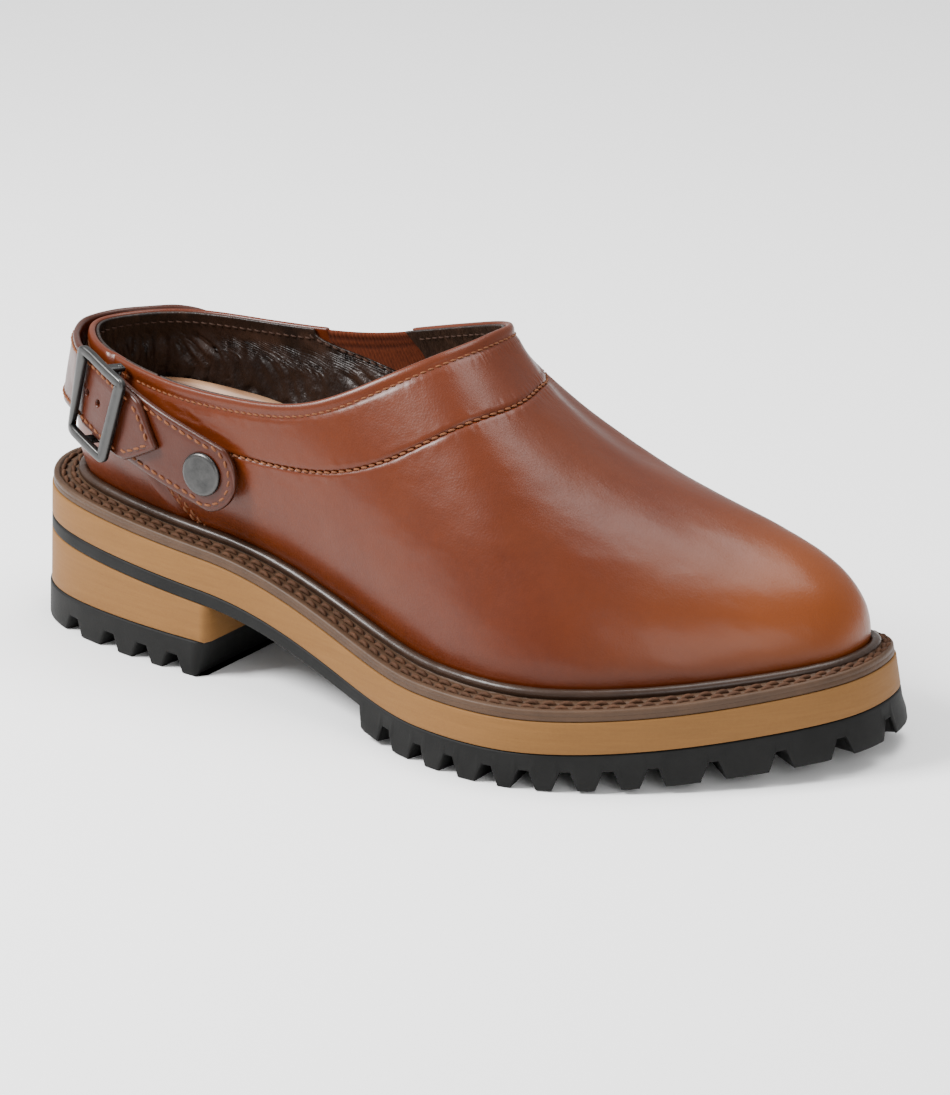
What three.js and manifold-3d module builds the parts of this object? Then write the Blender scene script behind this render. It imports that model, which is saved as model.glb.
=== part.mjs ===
// A right-foot leather clog on a stacked platform sole, with a heel strap that swivels on two rivets.
// Millimetres. +X points to the toe, +Y to the inner side of the foot and +Z up; the lugs stand on z = 0.
import * as THREE from "three";
import { mergeVertices } from "three/addons/utils/BufferGeometryUtils.js";
import Module from "manifold-3d";

const wasm = await Module();
wasm.setup();

// ---------------------------------------------------------------- driving dimensions
const GAP = 0.3; // left between neighbouring pieces
const MIDSOLE = 9.8; // thickness of the tan midsole
const WELT = 3.4; // thickness of the welt
const OUTSOLE = 4.4; // thickness of the rubber sheet above the lugs
const LUG = 6.5; // height of the tallest lugs
const HEEL_LIFT = 11.4; // rubber top lift of the heel
const HEEL_LUG = 5.2; // depth of the lift's grooves
const HEEL_GROOVES = [1.74, 2.32, 2.74, 3.1]; // stations of the grooves on either side of the heel
const OUTER_GROOVES = [5.69, 6.08, 6.43, 6.8, 7.12, 7.45, 7.79, 8.16, 8.72, 9.39, 10.1, 11.04];
const INNER_GROOVES = [12.1, 12.6, 13.0, 13.3, 13.6, 13.9, 14.2, 14.5, 14.8, 15.1];
const TREAD_START = 148; // where the forefoot lugs begin
const HEEL_SEAT = 33.7; // height of the midsole's underside at the heel's back
const HEEL_DROP = 6.0; // how far the seat falls by the heel breast
const BREAST = 80; // where the seat ends and the waist begins, from the heel's back
const BLOCK_FRONT = 82; // breast of the heel block
const LIFT_FRONT = [77.7, 80.8]; // breast of the top lift, at the ground and at its top
const BALL = 10.9; // height of the midsole's underside under the ball of the foot
const BALL_START = 172; // the flat tread under the ball
const BALL_END = 202;
const TOE_SPRING = 6.3; // rise of the sole from the ball to the toe
const TOE_END = 280;
const SPRING_CURVE = 1.8;
const FLARE = 0.03; // how much the sole spreads per millimetre downwards
const TOE_LEAN = 0.13; // what the toe adds to that
const LEATHER = 1.5; // upper leather
const STIFFENER = [1.9, 2.5]; // depth of the heel counter and toe puff below the outer face
const LINING = [2.9, 3.9]; // depth of the lining below the outer face
const SKIRT = 3.0; // height of the upper that stands behind the welt
const COLLAR = { rear: 18, side: 24.5, front: 21 }; // height of the collar band below the opening
const BOARD = 3.0; // insole board
const FILLER = 2.0; // cork bottom filler round the shank
const SHANK = { from: 48, to: 150, half: 6 };
const NAIL = { radius: 1.3, foot: 18, countersink: 0.8 };
const NAIL_SPOTS = [
  [30, -9],
  [30, 9],
  [56, -11],
  [56, 11],
];
const COVER = 1.2; // footbed cover
const COVER_GAP = 0.6; // between the footbed and its cover
const BEAD_RADIUS = 1.5; // bead between the welt and the upper
const STRAP_WIDTH = 22;
const STRAP = 2.2; // strap leather
const TAB_LAYER = [-3.2, -1.4]; // the outer tab, from the strap's middle plane
const TAB_END = 12; // radius of the strap ends round the rivets
const END_REACH = 10; // from the rivet's axis to the strap's end
const BILLET_REACH = 27; // from the buckle's bar to the point of the billet
const HOLE_REACHES = [-6, 0.5, 7]; // holes of the billet, from the buckle's bar
const BUCKLE_X = 39.5; // where the buckle's bar crosses the strap
const BUCKLE_LENGTH = 23;
const BUCKLE_HALF = 14.6; // half the buckle's height
const BUCKLE_BAR = 3; // width of its four sides
const BUCKLE_LAYER = [1.8, 4.2]; // the frame, from the strap's middle plane
const LUG_LAYER = [-4.4, 2.4]; // the two lugs that hold the bar
const LUG_HALF = 1.5;
const BAR_RADIUS = 0.9;
const BAR_OFFSET = -3.3;
const RIVET_X = 81; // swivel axis of the strap, parallel to Y
const RIVET_Z = 65.2;
const STRAP_RISE = 0.31; // climb of the strap per millimetre behind the rivet
const STRAP_LEAN = 0.18; // how far it leans on the heel, per millimetre across it
const POST_RADIUS = 2.3;
const CAP_RADIUS = 6.8;
const BURR = 0.7; // thickness of the washer inside
const BURR_DEPTH = 2.45; // its distance below the outer face of the upper
const BURR_RADIUS = 3.8;

// Stations round the shoe, from the heel's back along the outer side to the toe and back along the inner side.
// edge: the sole's edge; inset: from there to the foot of the upper; swell: how far the upper's lower control
// point stands out and up; crown: its upper control point; top: the edge of the opening.
const STATIONS = [
  { edge: [0, 0], inset: 12.5, swell: [8, 14], crown: [11, 0, 79], top: [13.5, 0, 92.5] },
  { edge: [9.5, -19.5], inset: 12.5, swell: [8, 14], crown: [17, -12.5, 79], top: [19, -10.5, 92.3] },
  { edge: [32, -30.5], inset: 12.5, swell: [8.5, 14], crown: [31, -24, 79], top: [33, -20.5, 91.3] },
  { edge: [65, -36], inset: 12.5, swell: [9, 14], crown: [60, -32, 77], top: [60, -29.1, 89.4] },
  { edge: [100, -38.5], inset: 12.5, swell: [9, 14], crown: [88, -34.4, 77], top: [86, -31.9, 89.2] },
  { edge: [135, -45], inset: 12.5, swell: [8, 16], crown: [122, -36, 80], top: [113, -32.4, 92.2] },
  { edge: [170, -55.5], inset: 12.8, swell: [5, 20], crown: [148, -32.5, 86], top: [134, -27, 101] },
  { edge: [205, -57], inset: 13, swell: [4, 22], crown: [170, -26, 90], top: [148, -17.5, 108.5] },
  { edge: [237, -41], inset: 12.8, swell: [4, 24], crown: [184, -16, 82], top: [154.5, -8, 111.7] },
  { edge: [260, -20], inset: 12, swell: [4, 29], crown: [189, -3, 73], top: [156.8, 0, 112.8] },
  { edge: [277, 2], inset: 10.8, swell: [4, 34.5], crown: [192, 8, 62.5], top: [157.3, 6.5, 113.1] },
  { edge: [282, 22], inset: 9.5, swell: [5.2, 41.5], crown: [190, 16, 57], top: [156.8, 13, 112.8] },
  { edge: [274.5, 43], inset: 9, swell: [5.2, 42.5], crown: [182, 23, 57.5], top: [153.2, 19, 111.6] },
  { edge: [247, 52], inset: 10.5, swell: [5, 27.5], crown: [174.5, 31, 73.5], top: [145, 24, 109] },
  { edge: [207, 51], inset: 12, swell: [5, 25], crown: [156, 34, 83], top: [131, 27.5, 104.8] },
  { edge: [165, 42], inset: 12.5, swell: [7, 20], crown: [128, 35, 84], top: [113, 30, 99.6] },
  { edge: [115, 30], inset: 12.5, swell: [8, 16], crown: [96, 34, 81], top: [92, 30.5, 94.9] },
  { edge: [65, 33.5], inset: 12.5, swell: [9, 14], crown: [62, 32, 78], top: [61, 29.3, 92.7] },
  { edge: [24, 30], inset: 12.5, swell: [8.5, 14], crown: [32, 28, 80], top: [33, 24.5, 92.7] },
  { edge: [5.5, 17.5], inset: 12.5, swell: [8, 14], crown: [15, 14.5, 80], top: [18, 12.5, 92.6] },
];
const TURN = STATIONS.length; // stations in one turn round the shoe

// ---------------------------------------------------------------- small helpers
const lerp = (a, b, k) => a + (b - a) * k;
const mix = (p, q, k) => p.map((v, i) => lerp(v, q[i], k));
const shift = (p, direction, length) => p.map((v, i) => v + direction[i] * length);
const range = (count, make) => Array.from({ length: count + 1 }, (_, i) => make(i / count));

function cross(a, b) {
  return [a[1] * b[2] - a[2] * b[1], a[2] * b[0] - a[0] * b[2], a[0] * b[1] - a[1] * b[0]];
}

function unit(v) {
  const size = Math.hypot(...v);
  return v.map((c) => c / size);
}

function smooth(k) {
  const c = Math.min(1, Math.max(0, k));
  return c * c * (3 - 2 * c);
}

// The closed smooth curve through the points, as a function of the station number.
function loopThrough(points) {
  const count = points.length;
  const control = points.map((p) => [...p]);
  for (let pass = 0; pass < 60; pass++) {
    for (let i = 0; i < count; i++) {
      const before = control[(i + count - 1) % count];
      const after = control[(i + 1) % count];
      control[i] = points[i].map((v, k) => (6 * v - before[k] - after[k]) / 4);
    }
  }
  return (t) => {
    const start = Math.floor(t);
    const f = t - start;
    const weights = [
      (1 - f) ** 3 / 6,
      (3 * f ** 3 - 6 * f ** 2 + 4) / 6,
      (-3 * f ** 3 + 3 * f ** 2 + 3 * f + 1) / 6,
      f ** 3 / 6,
    ];
    const out = points[0].map(() => 0);
    weights.forEach((w, j) => {
      const c = control[(((start - 1 + j) % count) + count) % count];
      c.forEach((v, k) => (out[k] += w * v));
    });
    return out;
  };
}

// ---------------------------------------------------------------- solids
// Triangles from a list of corner triples, as a geometry with shared vertices and no empty triangles.
function closedGeometry(triples) {
  const soup = new THREE.BufferGeometry();
  soup.setAttribute("position", new THREE.Float32BufferAttribute(triples.flat(2), 3));
  const merged = mergeVertices(soup, 1e-3);
  const source = merged.index.array;
  const kept = [];
  for (let i = 0; i < source.length; i += 3) {
    const [a, b, c] = [source[i], source[i + 1], source[i + 2]];
    if (a !== b && b !== c && a !== c) kept.push(a, b, c);
  }
  merged.setIndex(kept);
  return merged;
}

// A solid between an outer and an inner grid of points, closed along its edges.
function slab(outer, inner, closed = false) {
  const triples = [];
  const quad = (a, b, c, d) => triples.push([a, b, c], [a, c, d]);
  const rows = outer.length;
  const last = outer[0].length - 1;
  for (let i = 0; i < rows - (closed ? 0 : 1); i++) {
    const n = (i + 1) % rows;
    for (let j = 0; j < last; j++) {
      quad(outer[i][j], outer[n][j], outer[n][j + 1], outer[i][j + 1]);
      quad(inner[i][j], inner[i][j + 1], inner[n][j + 1], inner[n][j]);
    }
    quad(outer[n][0], outer[i][0], inner[i][0], inner[n][0]);
    quad(outer[i][last], outer[n][last], inner[n][last], inner[i][last]);
  }
  if (!closed) {
    for (let j = 0; j < last; j++) {
      quad(outer[0][j], outer[0][j + 1], inner[0][j + 1], inner[0][j]);
      quad(outer[rows - 1][j + 1], outer[rows - 1][j], inner[rows - 1][j], inner[rows - 1][j + 1]);
    }
  }
  return closedGeometry(triples);
}

// A manifold-3d solid, turned inside out first if its faces point inwards.
function solid(geometry) {
  const bare = new THREE.BufferGeometry();
  bare.setAttribute("position", geometry.getAttribute("position"));
  if (geometry.index) bare.setIndex(geometry.index);
  const merged = mergeVertices(bare, 1e-3);
  const vertProperties = new Float32Array(merged.getAttribute("position").array);
  const triVerts = new Uint32Array(merged.index.array);
  const made = new wasm.Manifold(new wasm.Mesh({ numProp: 3, vertProperties, triVerts }));
  if (made.volume() > 0) return made;
  for (let i = 0; i < triVerts.length; i += 3) triVerts.subarray(i, i + 3).reverse();
  return new wasm.Manifold(new wasm.Mesh({ numProp: 3, vertProperties, triVerts }));
}

function geometryOf(made) {
  const mesh = made.getMesh();
  const geometry = new THREE.BufferGeometry();
  const positions = new Float32Array(mesh.numVert * 3);
  for (let i = 0; i < mesh.numVert; i++) {
    positions.set(mesh.vertProperties.subarray(i * mesh.numProp, i * mesh.numProp + 3), i * 3);
  }
  geometry.setAttribute("position", new THREE.BufferAttribute(positions, 3));
  geometry.setIndex(new THREE.BufferAttribute(new Uint32Array(mesh.triVerts), 1));
  geometry.computeVertexNormals();
  return geometry;
}

function boxSolid(size, centre) {
  return solid(new THREE.BoxGeometry(...size).translate(...centre));
}

function rodAlongY(radius, x, z, yFrom, yTo, sides = 16) {
  const geometry = new THREE.CylinderGeometry(radius, radius, Math.abs(yTo - yFrom), sides);
  return solid(geometry.translate(x, (yFrom + yTo) / 2, z));
}

function rodAlongZ(radius, x, y, zFrom, zTo, sides = 10) {
  const geometry = new THREE.CylinderGeometry(radius, radius, Math.abs(zTo - zFrom), sides);
  return solid(geometry.rotateX(Math.PI / 2).translate(x, y, (zFrom + zTo) / 2));
}

// ---------------------------------------------------------------- sole surfaces
const edgeAt = loopThrough(STATIONS.map((s) => s.edge));
const insetAt = loopThrough(STATIONS.map((s) => [s.inset]));
const swellAt = loopThrough(STATIONS.map((s) => s.swell));
const crownAt = loopThrough(STATIONS.map((s) => s.crown));
const topAt = loopThrough(STATIONS.map((s) => s.top));

function outward(t) {
  const a = edgeAt(t - 0.01);
  const b = edgeAt(t + 0.01);
  return unit([b[1] - a[1], a[0] - b[0]]);
}

function inside(t, inset) {
  return shift(edgeAt(t), outward(t), -inset);
}

// Height of the midsole's underside: the heel seat, the curve of the waist, the flat ball and the toe spring.
function soleLine(x) {
  if (x < BREAST) return HEEL_SEAT - (HEEL_DROP * x) / BREAST;
  if (x < BALL_START) {
    const reach = BALL_START - BREAST;
    const k = (x - BREAST) / reach;
    const slope = (-HEEL_DROP / BREAST) * reach;
    const start = HEEL_SEAT - HEEL_DROP;
    const ease = k * k * (3 - 2 * k);
    return lerp(start, BALL, ease) + slope * k * (1 - k) ** 2;
  }
  return BALL + TOE_SPRING * Math.max(0, (x - BALL_END) / (TOE_END - BALL_END)) ** SPRING_CURVE;
}

// How far the sole's side stands out at a height: it spreads downwards, and more so round the toe.
function spread(t, z) {
  const toe = smooth((t - 8) / 2.5) * (1 - smooth((t - 12.3) / 1.8));
  return FLARE * (HEEL_SEAT - z) + TOE_LEAN * toe * (soleLine(edgeAt(t)[0]) - z);
}

// A prism on the sole's outline, inset all round by a function of the station; its side is upright or spreads.
function outlinePrism(inset, upright = false, count = 60) {
  const low = -5;
  const high = 80;
  const ring = (z) =>
    range(count, (k) => {
      const t = k * TURN;
      return [...inside(t, inset(t) - (upright ? 0 : spread(t, z))), z];
    }).slice(0, count);
  const bottom = ring(low);
  const top = ring(high);
  const triples = [];
  for (let i = 0; i < count; i++) {
    const n = (i + 1) % count;
    triples.push([bottom[i], bottom[n], top[n]], [bottom[i], top[n], top[i]]);
  }
  const faces = THREE.ShapeUtils.triangulateShape(
    top.map((p) => new THREE.Vector2(p[0], p[1])),
    [],
  );
  for (const [a, b, c] of faces) {
    triples.push([top[a], top[b], top[c]], [bottom[c], bottom[b], bottom[a]]);
  }
  return solid(closedGeometry(triples));
}

const SOLE_STEPS = [BREAST, 94, 108, 122, 136, 148, 160, BALL_START, BALL_END, 222, 240, 256, 270, 284];

// A block that spans the shoe's width, from its outline seen from the side.
function sideBlock(points) {
  const shape = new THREE.Shape(points.map((p) => new THREE.Vector2(...p)));
  const geometry = new THREE.ExtrudeGeometry(shape, { depth: 160, bevelEnabled: false });
  return solid(geometry.rotateX(Math.PI / 2).translate(0, 80, 0));
}

// A block that spans the shoe's width between two heights, each a function of x.
function profileBlock(low, high, xFrom = -12, xTo = 296) {
  const between = SOLE_STEPS.filter((x) => x > xFrom && x < xTo);
  const steps = [xFrom, ...between, xTo];
  const upperEdge = steps.map((x) => [x, high(x)]);
  const lowerEdge = steps.map((x) => [x, low(x)]).reverse();
  return sideBlock([...upperEdge, ...lowerEdge]);
}

// A layer of the sole between two offsets from the sole line.
function soleLayer(low, high, inset = () => 0, upright = false) {
  const block = profileBlock(
    (x) => soleLine(x) + low,
    (x) => soleLine(x) + high,
  );
  return outlinePrism(inset, upright).intersect(block);
}

const weltTop = (x) => soleLine(x) + MIDSOLE + WELT;
const fromFeather = (extra) => (t) => insetAt(t)[0] + extra;

// ---------------------------------------------------------------- upper surface
// The outer face of the upper: t goes round the shoe, s from 0 at the welt to 1 at the opening.
function upperPoint(t, s) {
  const foot = inside(t, insetAt(t)[0]);
  const base = [...foot, weltTop(foot[0])];
  if (s < 0) return [base[0], base[1], base[2] + s * 100];
  const [out, up] = swellAt(t);
  const swell = [...shift(foot, outward(t), out), base[2] + up];
  const r = 1 - s;
  const weights = [r ** 3, 3 * r * r * s, 3 * r * s * s, s ** 3];
  const controls = [base, swell, crownAt(t), topAt(t)];
  return [0, 1, 2].map((k) => controls.reduce((sum, c, i) => sum + weights[i] * c[k], 0));
}

function upperNormal(t, s) {
  const at = Math.min(0.995, Math.max(0.005, s));
  const along = shift(upperPoint(t + 0.01, at), upperPoint(t - 0.01, at), -1);
  const up = shift(upperPoint(t, at + 0.005), upperPoint(t, at - 0.005), -1);
  const normal = unit(cross(along, up));
  if (s >= 0) return normal;
  return unit([normal[0], normal[1], 0]);
}

function upperOffset(t, s, depth) {
  return shift(upperPoint(t, s), upperNormal(t, s), -depth);
}

// The s at which the meridian has come down a given length from the opening.
function belowTop(t, length) {
  let walked = 0;
  let previous = upperPoint(t, 1);
  for (let s = 0.99; s > 0; s -= 0.01) {
    const point = upperPoint(t, s);
    const step = Math.hypot(...shift(point, previous, -1));
    if (walked + step > length) return s + 0.01 * (1 - (length - walked) / step);
    walked += step;
    previous = point;
  }
  return 0;
}

// The s at which the meridian reaches a height.
function atHeight(t, z) {
  let [low, high] = [0, 1];
  for (let i = 0; i < 30; i++) {
    const middle = (low + high) / 2;
    if (upperPoint(t, middle)[2] < z) low = middle;
    else high = middle;
  }
  return low;
}

// The upper's rows: row 0 stands behind the welt, row SEAM_ROW is the collar seam and row TOP_ROW the opening.
const SEAM_ROW = 9;
const TOP_ROW = 11;
const COLUMNS = 3; // columns of points per station
const SKIRT_S = -SKIRT / 100;

// Height of the collar band: it deepens along the outer side and narrows again over the instep.
function collarHeight(t) {
  const u = ((t % TURN) + TURN) % TURN;
  const outer = lerp(COLLAR.rear, COLLAR.side, smooth((u - 3.6) / 2.6));
  const front = lerp(outer, COLLAR.front, smooth((u - 8) / 3));
  return lerp(front, COLLAR.rear, smooth((u - 12) / 3.5));
}

const seamS = (t) => belowTop(t, collarHeight(t));

function rowS(row, t) {
  const seam = seamS(t);
  if (row <= SEAM_ROW) return lerp(SKIRT_S, seam, row / SEAM_ROW);
  return lerp(seam, 0.995, (row - SEAM_ROW) / (TOP_ROW - SEAM_ROW));
}

// A sheet of leather in the upper: from one edge to another (functions of s) round the shoe, between two
// rows, and between two depths below the outer face. A narrow one has its columns spread evenly.
function sheet({ from, to, rows, depths, narrow = 0 }) {
  const [low, high] = rows;
  const inner = range(TOP_ROW, (k) => k * TOP_ROW).filter((row) => row > low + 0.2 && row < high - 0.2);
  const all = [low, ...inner, high];
  const edgeStation = (edge, row) => {
    let t = edge(0.5);
    for (let i = 0; i < 6; i++) t = edge(rowS(row, t));
    return t;
  };
  const starts = all.map((row) => edgeStation(from, row));
  const ends = all.map((row) => edgeStation(to, row));
  const first = Math.ceil((Math.max(...starts) + 0.1) * COLUMNS) / COLUMNS;
  const last = Math.floor((Math.min(...ends) - 0.1) * COLUMNS) / COLUMNS;
  const columns = [];
  if (narrow) columns.push(...range(narrow, (k) => (j) => lerp(starts[j], ends[j], k)));
  else {
    const lead = Math.ceil((first - Math.min(...starts)) * COLUMNS);
    for (let k = 0; k < lead; k++) columns.push((j) => lerp(starts[j], first, k / lead));
    for (let t = first; t < last + 0.01; t += 1 / COLUMNS) columns.push(() => t);
    const tail = Math.ceil((Math.max(...ends) - last) * COLUMNS);
    for (let k = 1; k <= tail; k++) columns.push((j) => lerp(last, ends[j], k / tail));
  }
  const pointAt = (column, depth) => (row, j) => upperOffset(column(j), rowS(row, column(j)), depth);
  const grid = (depth) => columns.map((column) => all.map(pointAt(column, depth)));
  return solid(slab(grid(depths[0]), grid(depths[1])));
}

// The vamp's rear edge on the outer side leans back as it rises.
const outerJoin = (s) => lerp(3.1, 2.15, s);
// The vamp's and the quarter's edges beside the elastic, on the inner side.
const goreFront = (s) => lerp(15.76, 15.12, smooth((s - 0.15) / 0.85));
const goreRear = (s) => lerp(15.84, 16.4, smooth((s - 0.15) / 0.85));

// ---------------------------------------------------------------- sole pieces
// A groove cut inwards from the sole's edge, narrowing upwards from the tread.
function grooveAt(t, width, length, depth, zLow) {
  const n = [...outward(t), 0];
  const across = cross([0, 0, 1], n);
  const [wide, narrow] = [width / 2 + 1.6, width / 2 - 0.6];
  const outline = [
    [-wide, -depth],
    [wide, -depth],
    [narrow, depth],
    [-narrow, depth],
  ];
  const shape = new THREE.Shape(outline.map((p) => new THREE.Vector2(...p)));
  const geometry = new THREE.ExtrudeGeometry(shape, { depth: length + 12, bevelEnabled: false });
  const basis = new THREE.Matrix4().makeBasis(
    ...[across, [0, 0, 1], n].map((axis) => new THREE.Vector3(...axis)),
  );
  const start = shift([...edgeAt(t), zLow], n, -length);
  return solid(geometry.applyMatrix4(basis).translate(...start));
}

function heelTopLift() {
  const [front, topFront] = LIFT_FRONT;
  const high = HEEL_LIFT - GAP;
  const block = sideBlock([
    [-12, 0],
    [front, 0],
    [topFront, high],
    [-12, high],
  ]);
  const sides = HEEL_GROOVES.flatMap((t) => [t, TURN - t]);
  const lift = outlinePrism(() => -0.4).intersect(block);
  return sides.reduce((made, t) => made.subtract(grooveAt(t, 5.4, 14, HEEL_LUG, 0)), lift);
}

const lugBottom = (x) => soleLine(x) - OUTSOLE - LUG;

function outsole() {
  const base = soleLayer(-OUTSOLE, -GAP);
  const tread = profileBlock(lugBottom, (x) => soleLine(x) - OUTSOLE + 1, TREAD_START, 296);
  let lugs = outlinePrism(() => -0.6).intersect(tread);
  for (const t of [...OUTER_GROOVES, ...INNER_GROOVES]) {
    lugs = lugs.subtract(grooveAt(t, 4.2, 17, LUG - 0.8, lugBottom(edgeAt(t)[0])));
  }
  return nailed(base.add(lugs));
}

function nailed(made) {
  const bore = ([x, y]) => rodAlongZ(NAIL.radius + GAP, x, y, NAIL.foot - 1, 62);
  return NAIL_SPOTS.reduce((body, spot) => body.subtract(bore(spot)), made);
}

function heelBlock() {
  const block = profileBlock(() => HEEL_LIFT, (x) => soleLine(x) - OUTSOLE - GAP, -12, BLOCK_FRONT);
  return nailed(outlinePrism(() => 0).intersect(block));
}

function midsole() {
  return nailed(soleLayer(0, MIDSOLE - GAP));
}

function welt() {
  const ring = soleLayer(MIDSOLE, MIDSOLE + WELT, () => 0.4);
  return ring.subtract(outlinePrism(fromFeather(-GAP - 0.6), true));
}

// A round bead on the welt, against the foot of the upper.
function weltRib() {
  const radius = BEAD_RADIUS;
  const sides = 6;
  const section = (t) => {
    const s = atHeight(t, upperPoint(t, 0)[2] + radius + GAP + 0.25);
    const n = unit([...upperNormal(t, s).slice(0, 2), 0]);
    const centre = shift(upperPoint(t, s), n, radius + GAP + 0.15);
    return range(sides, (k) => {
      const angle = k * 2 * Math.PI;
      return shift([centre[0], centre[1], centre[2] + radius * Math.sin(angle)], n, radius * Math.cos(angle));
    });
  };
  const rings = range(60, (k) => section(k * TURN)).slice(0, 60);
  const triples = [];
  rings.forEach((ring, i) => {
    const next = rings[(i + 1) % rings.length];
    for (let j = 0; j < sides; j++) {
      triples.push([ring[j], next[j], next[j + 1]], [ring[j], next[j + 1], ring[j + 1]]);
    }
  });
  return solid(closedGeometry(triples));
}

// The shank's strip, grown by a clearance.
function shankStrip(clear) {
  const { from, to, half } = SHANK;
  return boxSolid([to - from + 2 * clear, 2 * (half + clear), 200], [(from + to) / 2, 0, 0]);
}

function shank() {
  const block = profileBlock(
    (x) => soleLine(x) + MIDSOLE + GAP,
    (x) => soleLine(x) + MIDSOLE + FILLER - GAP,
  );
  return shankStrip(0).intersect(block);
}

const boardLow = MIDSOLE + FILLER + GAP;
const boardHigh = boardLow + BOARD;

function bottomFiller() {
  const filler = soleLayer(MIDSOLE, MIDSOLE + FILLER, fromFeather(LINING[1] + 0.8), true);
  return nailed(filler.subtract(shankStrip(GAP + 0.1)));
}

function insoleBoard() {
  return nailed(soleLayer(boardLow, boardHigh, fromFeather(LINING[1] + 0.8), true));
}

function heelNail(x, y) {
  const head = soleLine(x) + boardHigh + GAP;
  return rodAlongZ(NAIL.radius, x, y, NAIL.foot, head - NAIL.countersink);
}

// ---------------------------------------------------------------- footbed
// The foot's floor: rim points on the lining, and a hollow between them that is deepest along the middle.
const FOOTBED_BASE = boardHigh + GAP;
const rimRise = (x) => lerp(21, 9.5, smooth((x - 55) / 110));
const floorRise = (x) => lerp(10, 6.5, smooth((x - 60) / 110));

function rimPoint(t, lift) {
  const [x] = inside(t, 14);
  const z = soleLine(x) + FOOTBED_BASE + lift(x);
  return upperOffset(t, atHeight(t, z), LINING[1] + 0.9);
}

// Where a closed loop of points crosses a given x, on its outer (-Y) and inner (+Y) side.
function crossings(loop, x) {
  const found = [];
  loop.forEach((p, i) => {
    const q = loop[(i + 1) % loop.length];
    if ((p[0] - x) * (q[0] - x) < 0) found.push(mix(p, q, (x - p[0]) / (q[0] - p[0])));
  });
  found.sort((a, b) => a[1] - b[1]);
  return [found[0], found[found.length - 1]];
}

// A plate between two floors, each given by its rim loop and the height of its middle.
function floorPlate(topLoop, topMiddle, lowLoop, lowMiddle) {
  const across = 6;
  const loopEnds = (loop) => [Math.min(...loop.map((p) => p[0])), Math.max(...loop.map((p) => p[0]))];
  const line = (loop, middle, k) => {
    const [from, to] = loopEnds(loop);
    const x = lerp(from, to, Math.min(0.9995, Math.max(0.0005, (1 - Math.cos(k * Math.PI)) / 2)));
    const [outer, inner] = crossings(loop, x);
    return range(across, (j) => {
      const point = mix(outer, inner, j);
      const sag = 1 - Math.abs(2 * j - 1) ** 2.6;
      return [x, point[1], lerp(point[2], middle(x), Math.max(0, sag))];
    });
  };
  const steps = 18;
  const top = range(steps, (k) => line(topLoop, topMiddle, k));
  const low = range(steps, (k) => line(lowLoop, lowMiddle, k));
  return solid(slab(top, low));
}

const LOOP_STEPS = 120;
const rimLoop = (lift) => range(LOOP_STEPS, (k) => rimPoint(k * TURN, lift)).slice(0, LOOP_STEPS);
const floorHeight = (x) => soleLine(x) + FOOTBED_BASE + floorRise(x);

function footbed() {
  return floorPlate(
    rimLoop((x) => rimRise(x)),
    floorHeight,
    rimLoop(() => 0),
    (x) => soleLine(x) + FOOTBED_BASE,
  );
}

function footbedCover() {
  return floorPlate(
    rimLoop((x) => rimRise(x) + COVER_GAP + COVER),
    (x) => floorHeight(x) + COVER_GAP + COVER,
    rimLoop((x) => rimRise(x) + COVER_GAP),
    (x) => floorHeight(x) + COVER_GAP,
  );
}

// ---------------------------------------------------------------- upper pieces
const JOIN = 0.02; // half the gap between two sheets, in stations

// The hole that the two rivets' posts pass through.
function drilled(made) {
  return made.subtract(rodAlongY(POST_RADIUS + GAP, RIVET_X, RIVET_Z, -60, 60));
}

function vamp() {
  const made = sheet({
    from: (s) => outerJoin(s) + JOIN,
    to: (s) => goreFront(s) - JOIN,
    rows: [0, SEAM_ROW - 0.07],
    depths: [0, LEATHER],
  });
  return drilled(made);
}

function collarBand() {
  return sheet({
    from: (s) => outerJoin(s) + JOIN,
    to: (s) => goreFront(s) - JOIN,
    rows: [SEAM_ROW + 0.05, TOP_ROW],
    depths: [0, LEATHER],
  });
}

function heelQuarter() {
  const made = sheet({
    from: (s) => goreRear(s) - TURN + JOIN,
    to: (s) => outerJoin(s) - JOIN,
    rows: [0, TOP_ROW],
    depths: [0, LEATHER],
  });
  return drilled(made);
}

function elasticGore() {
  return sheet({
    from: (s) => goreFront(s) + 1.5 * JOIN,
    to: (s) => goreRear(s) - 1.5 * JOIN,
    rows: [2, TOP_ROW - 0.1],
    depths: [0.3, 1.5],
    narrow: 5,
  });
}

// The lining meets the washers of the rivets in shallow pockets.
function pocketed(made) {
  const pocket = (side) => {
    const wall = wallYAtRivet(side);
    return rodAlongY(BURR_RADIUS + 0.6, RIVET_X, RIVET_Z, wall, wall - side * 3.5, 16);
  };
  return made.subtract(pocket(-1)).subtract(pocket(1));
}

function vampLining() {
  const made = sheet({
    from: () => 2.9,
    to: () => 15.2,
    rows: [0, TOP_ROW],
    depths: LINING,
  });
  return pocketed(made);
}

function quarterLining() {
  const made = sheet({
    from: (s) => lerp(15.24, 16.55, smooth((s - 0.66) / 0.3)) - TURN,
    to: () => 2.86,
    rows: [0, TOP_ROW],
    depths: LINING,
  });
  return pocketed(made);
}

function heelCounter() {
  return sheet({ from: () => -2.7, to: () => 2.6, rows: [1, 7], depths: STIFFENER });
}

function toePuff() {
  return sheet({ from: () => 8.2, to: () => 13.6, rows: [1, 4], depths: STIFFENER });
}

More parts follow.
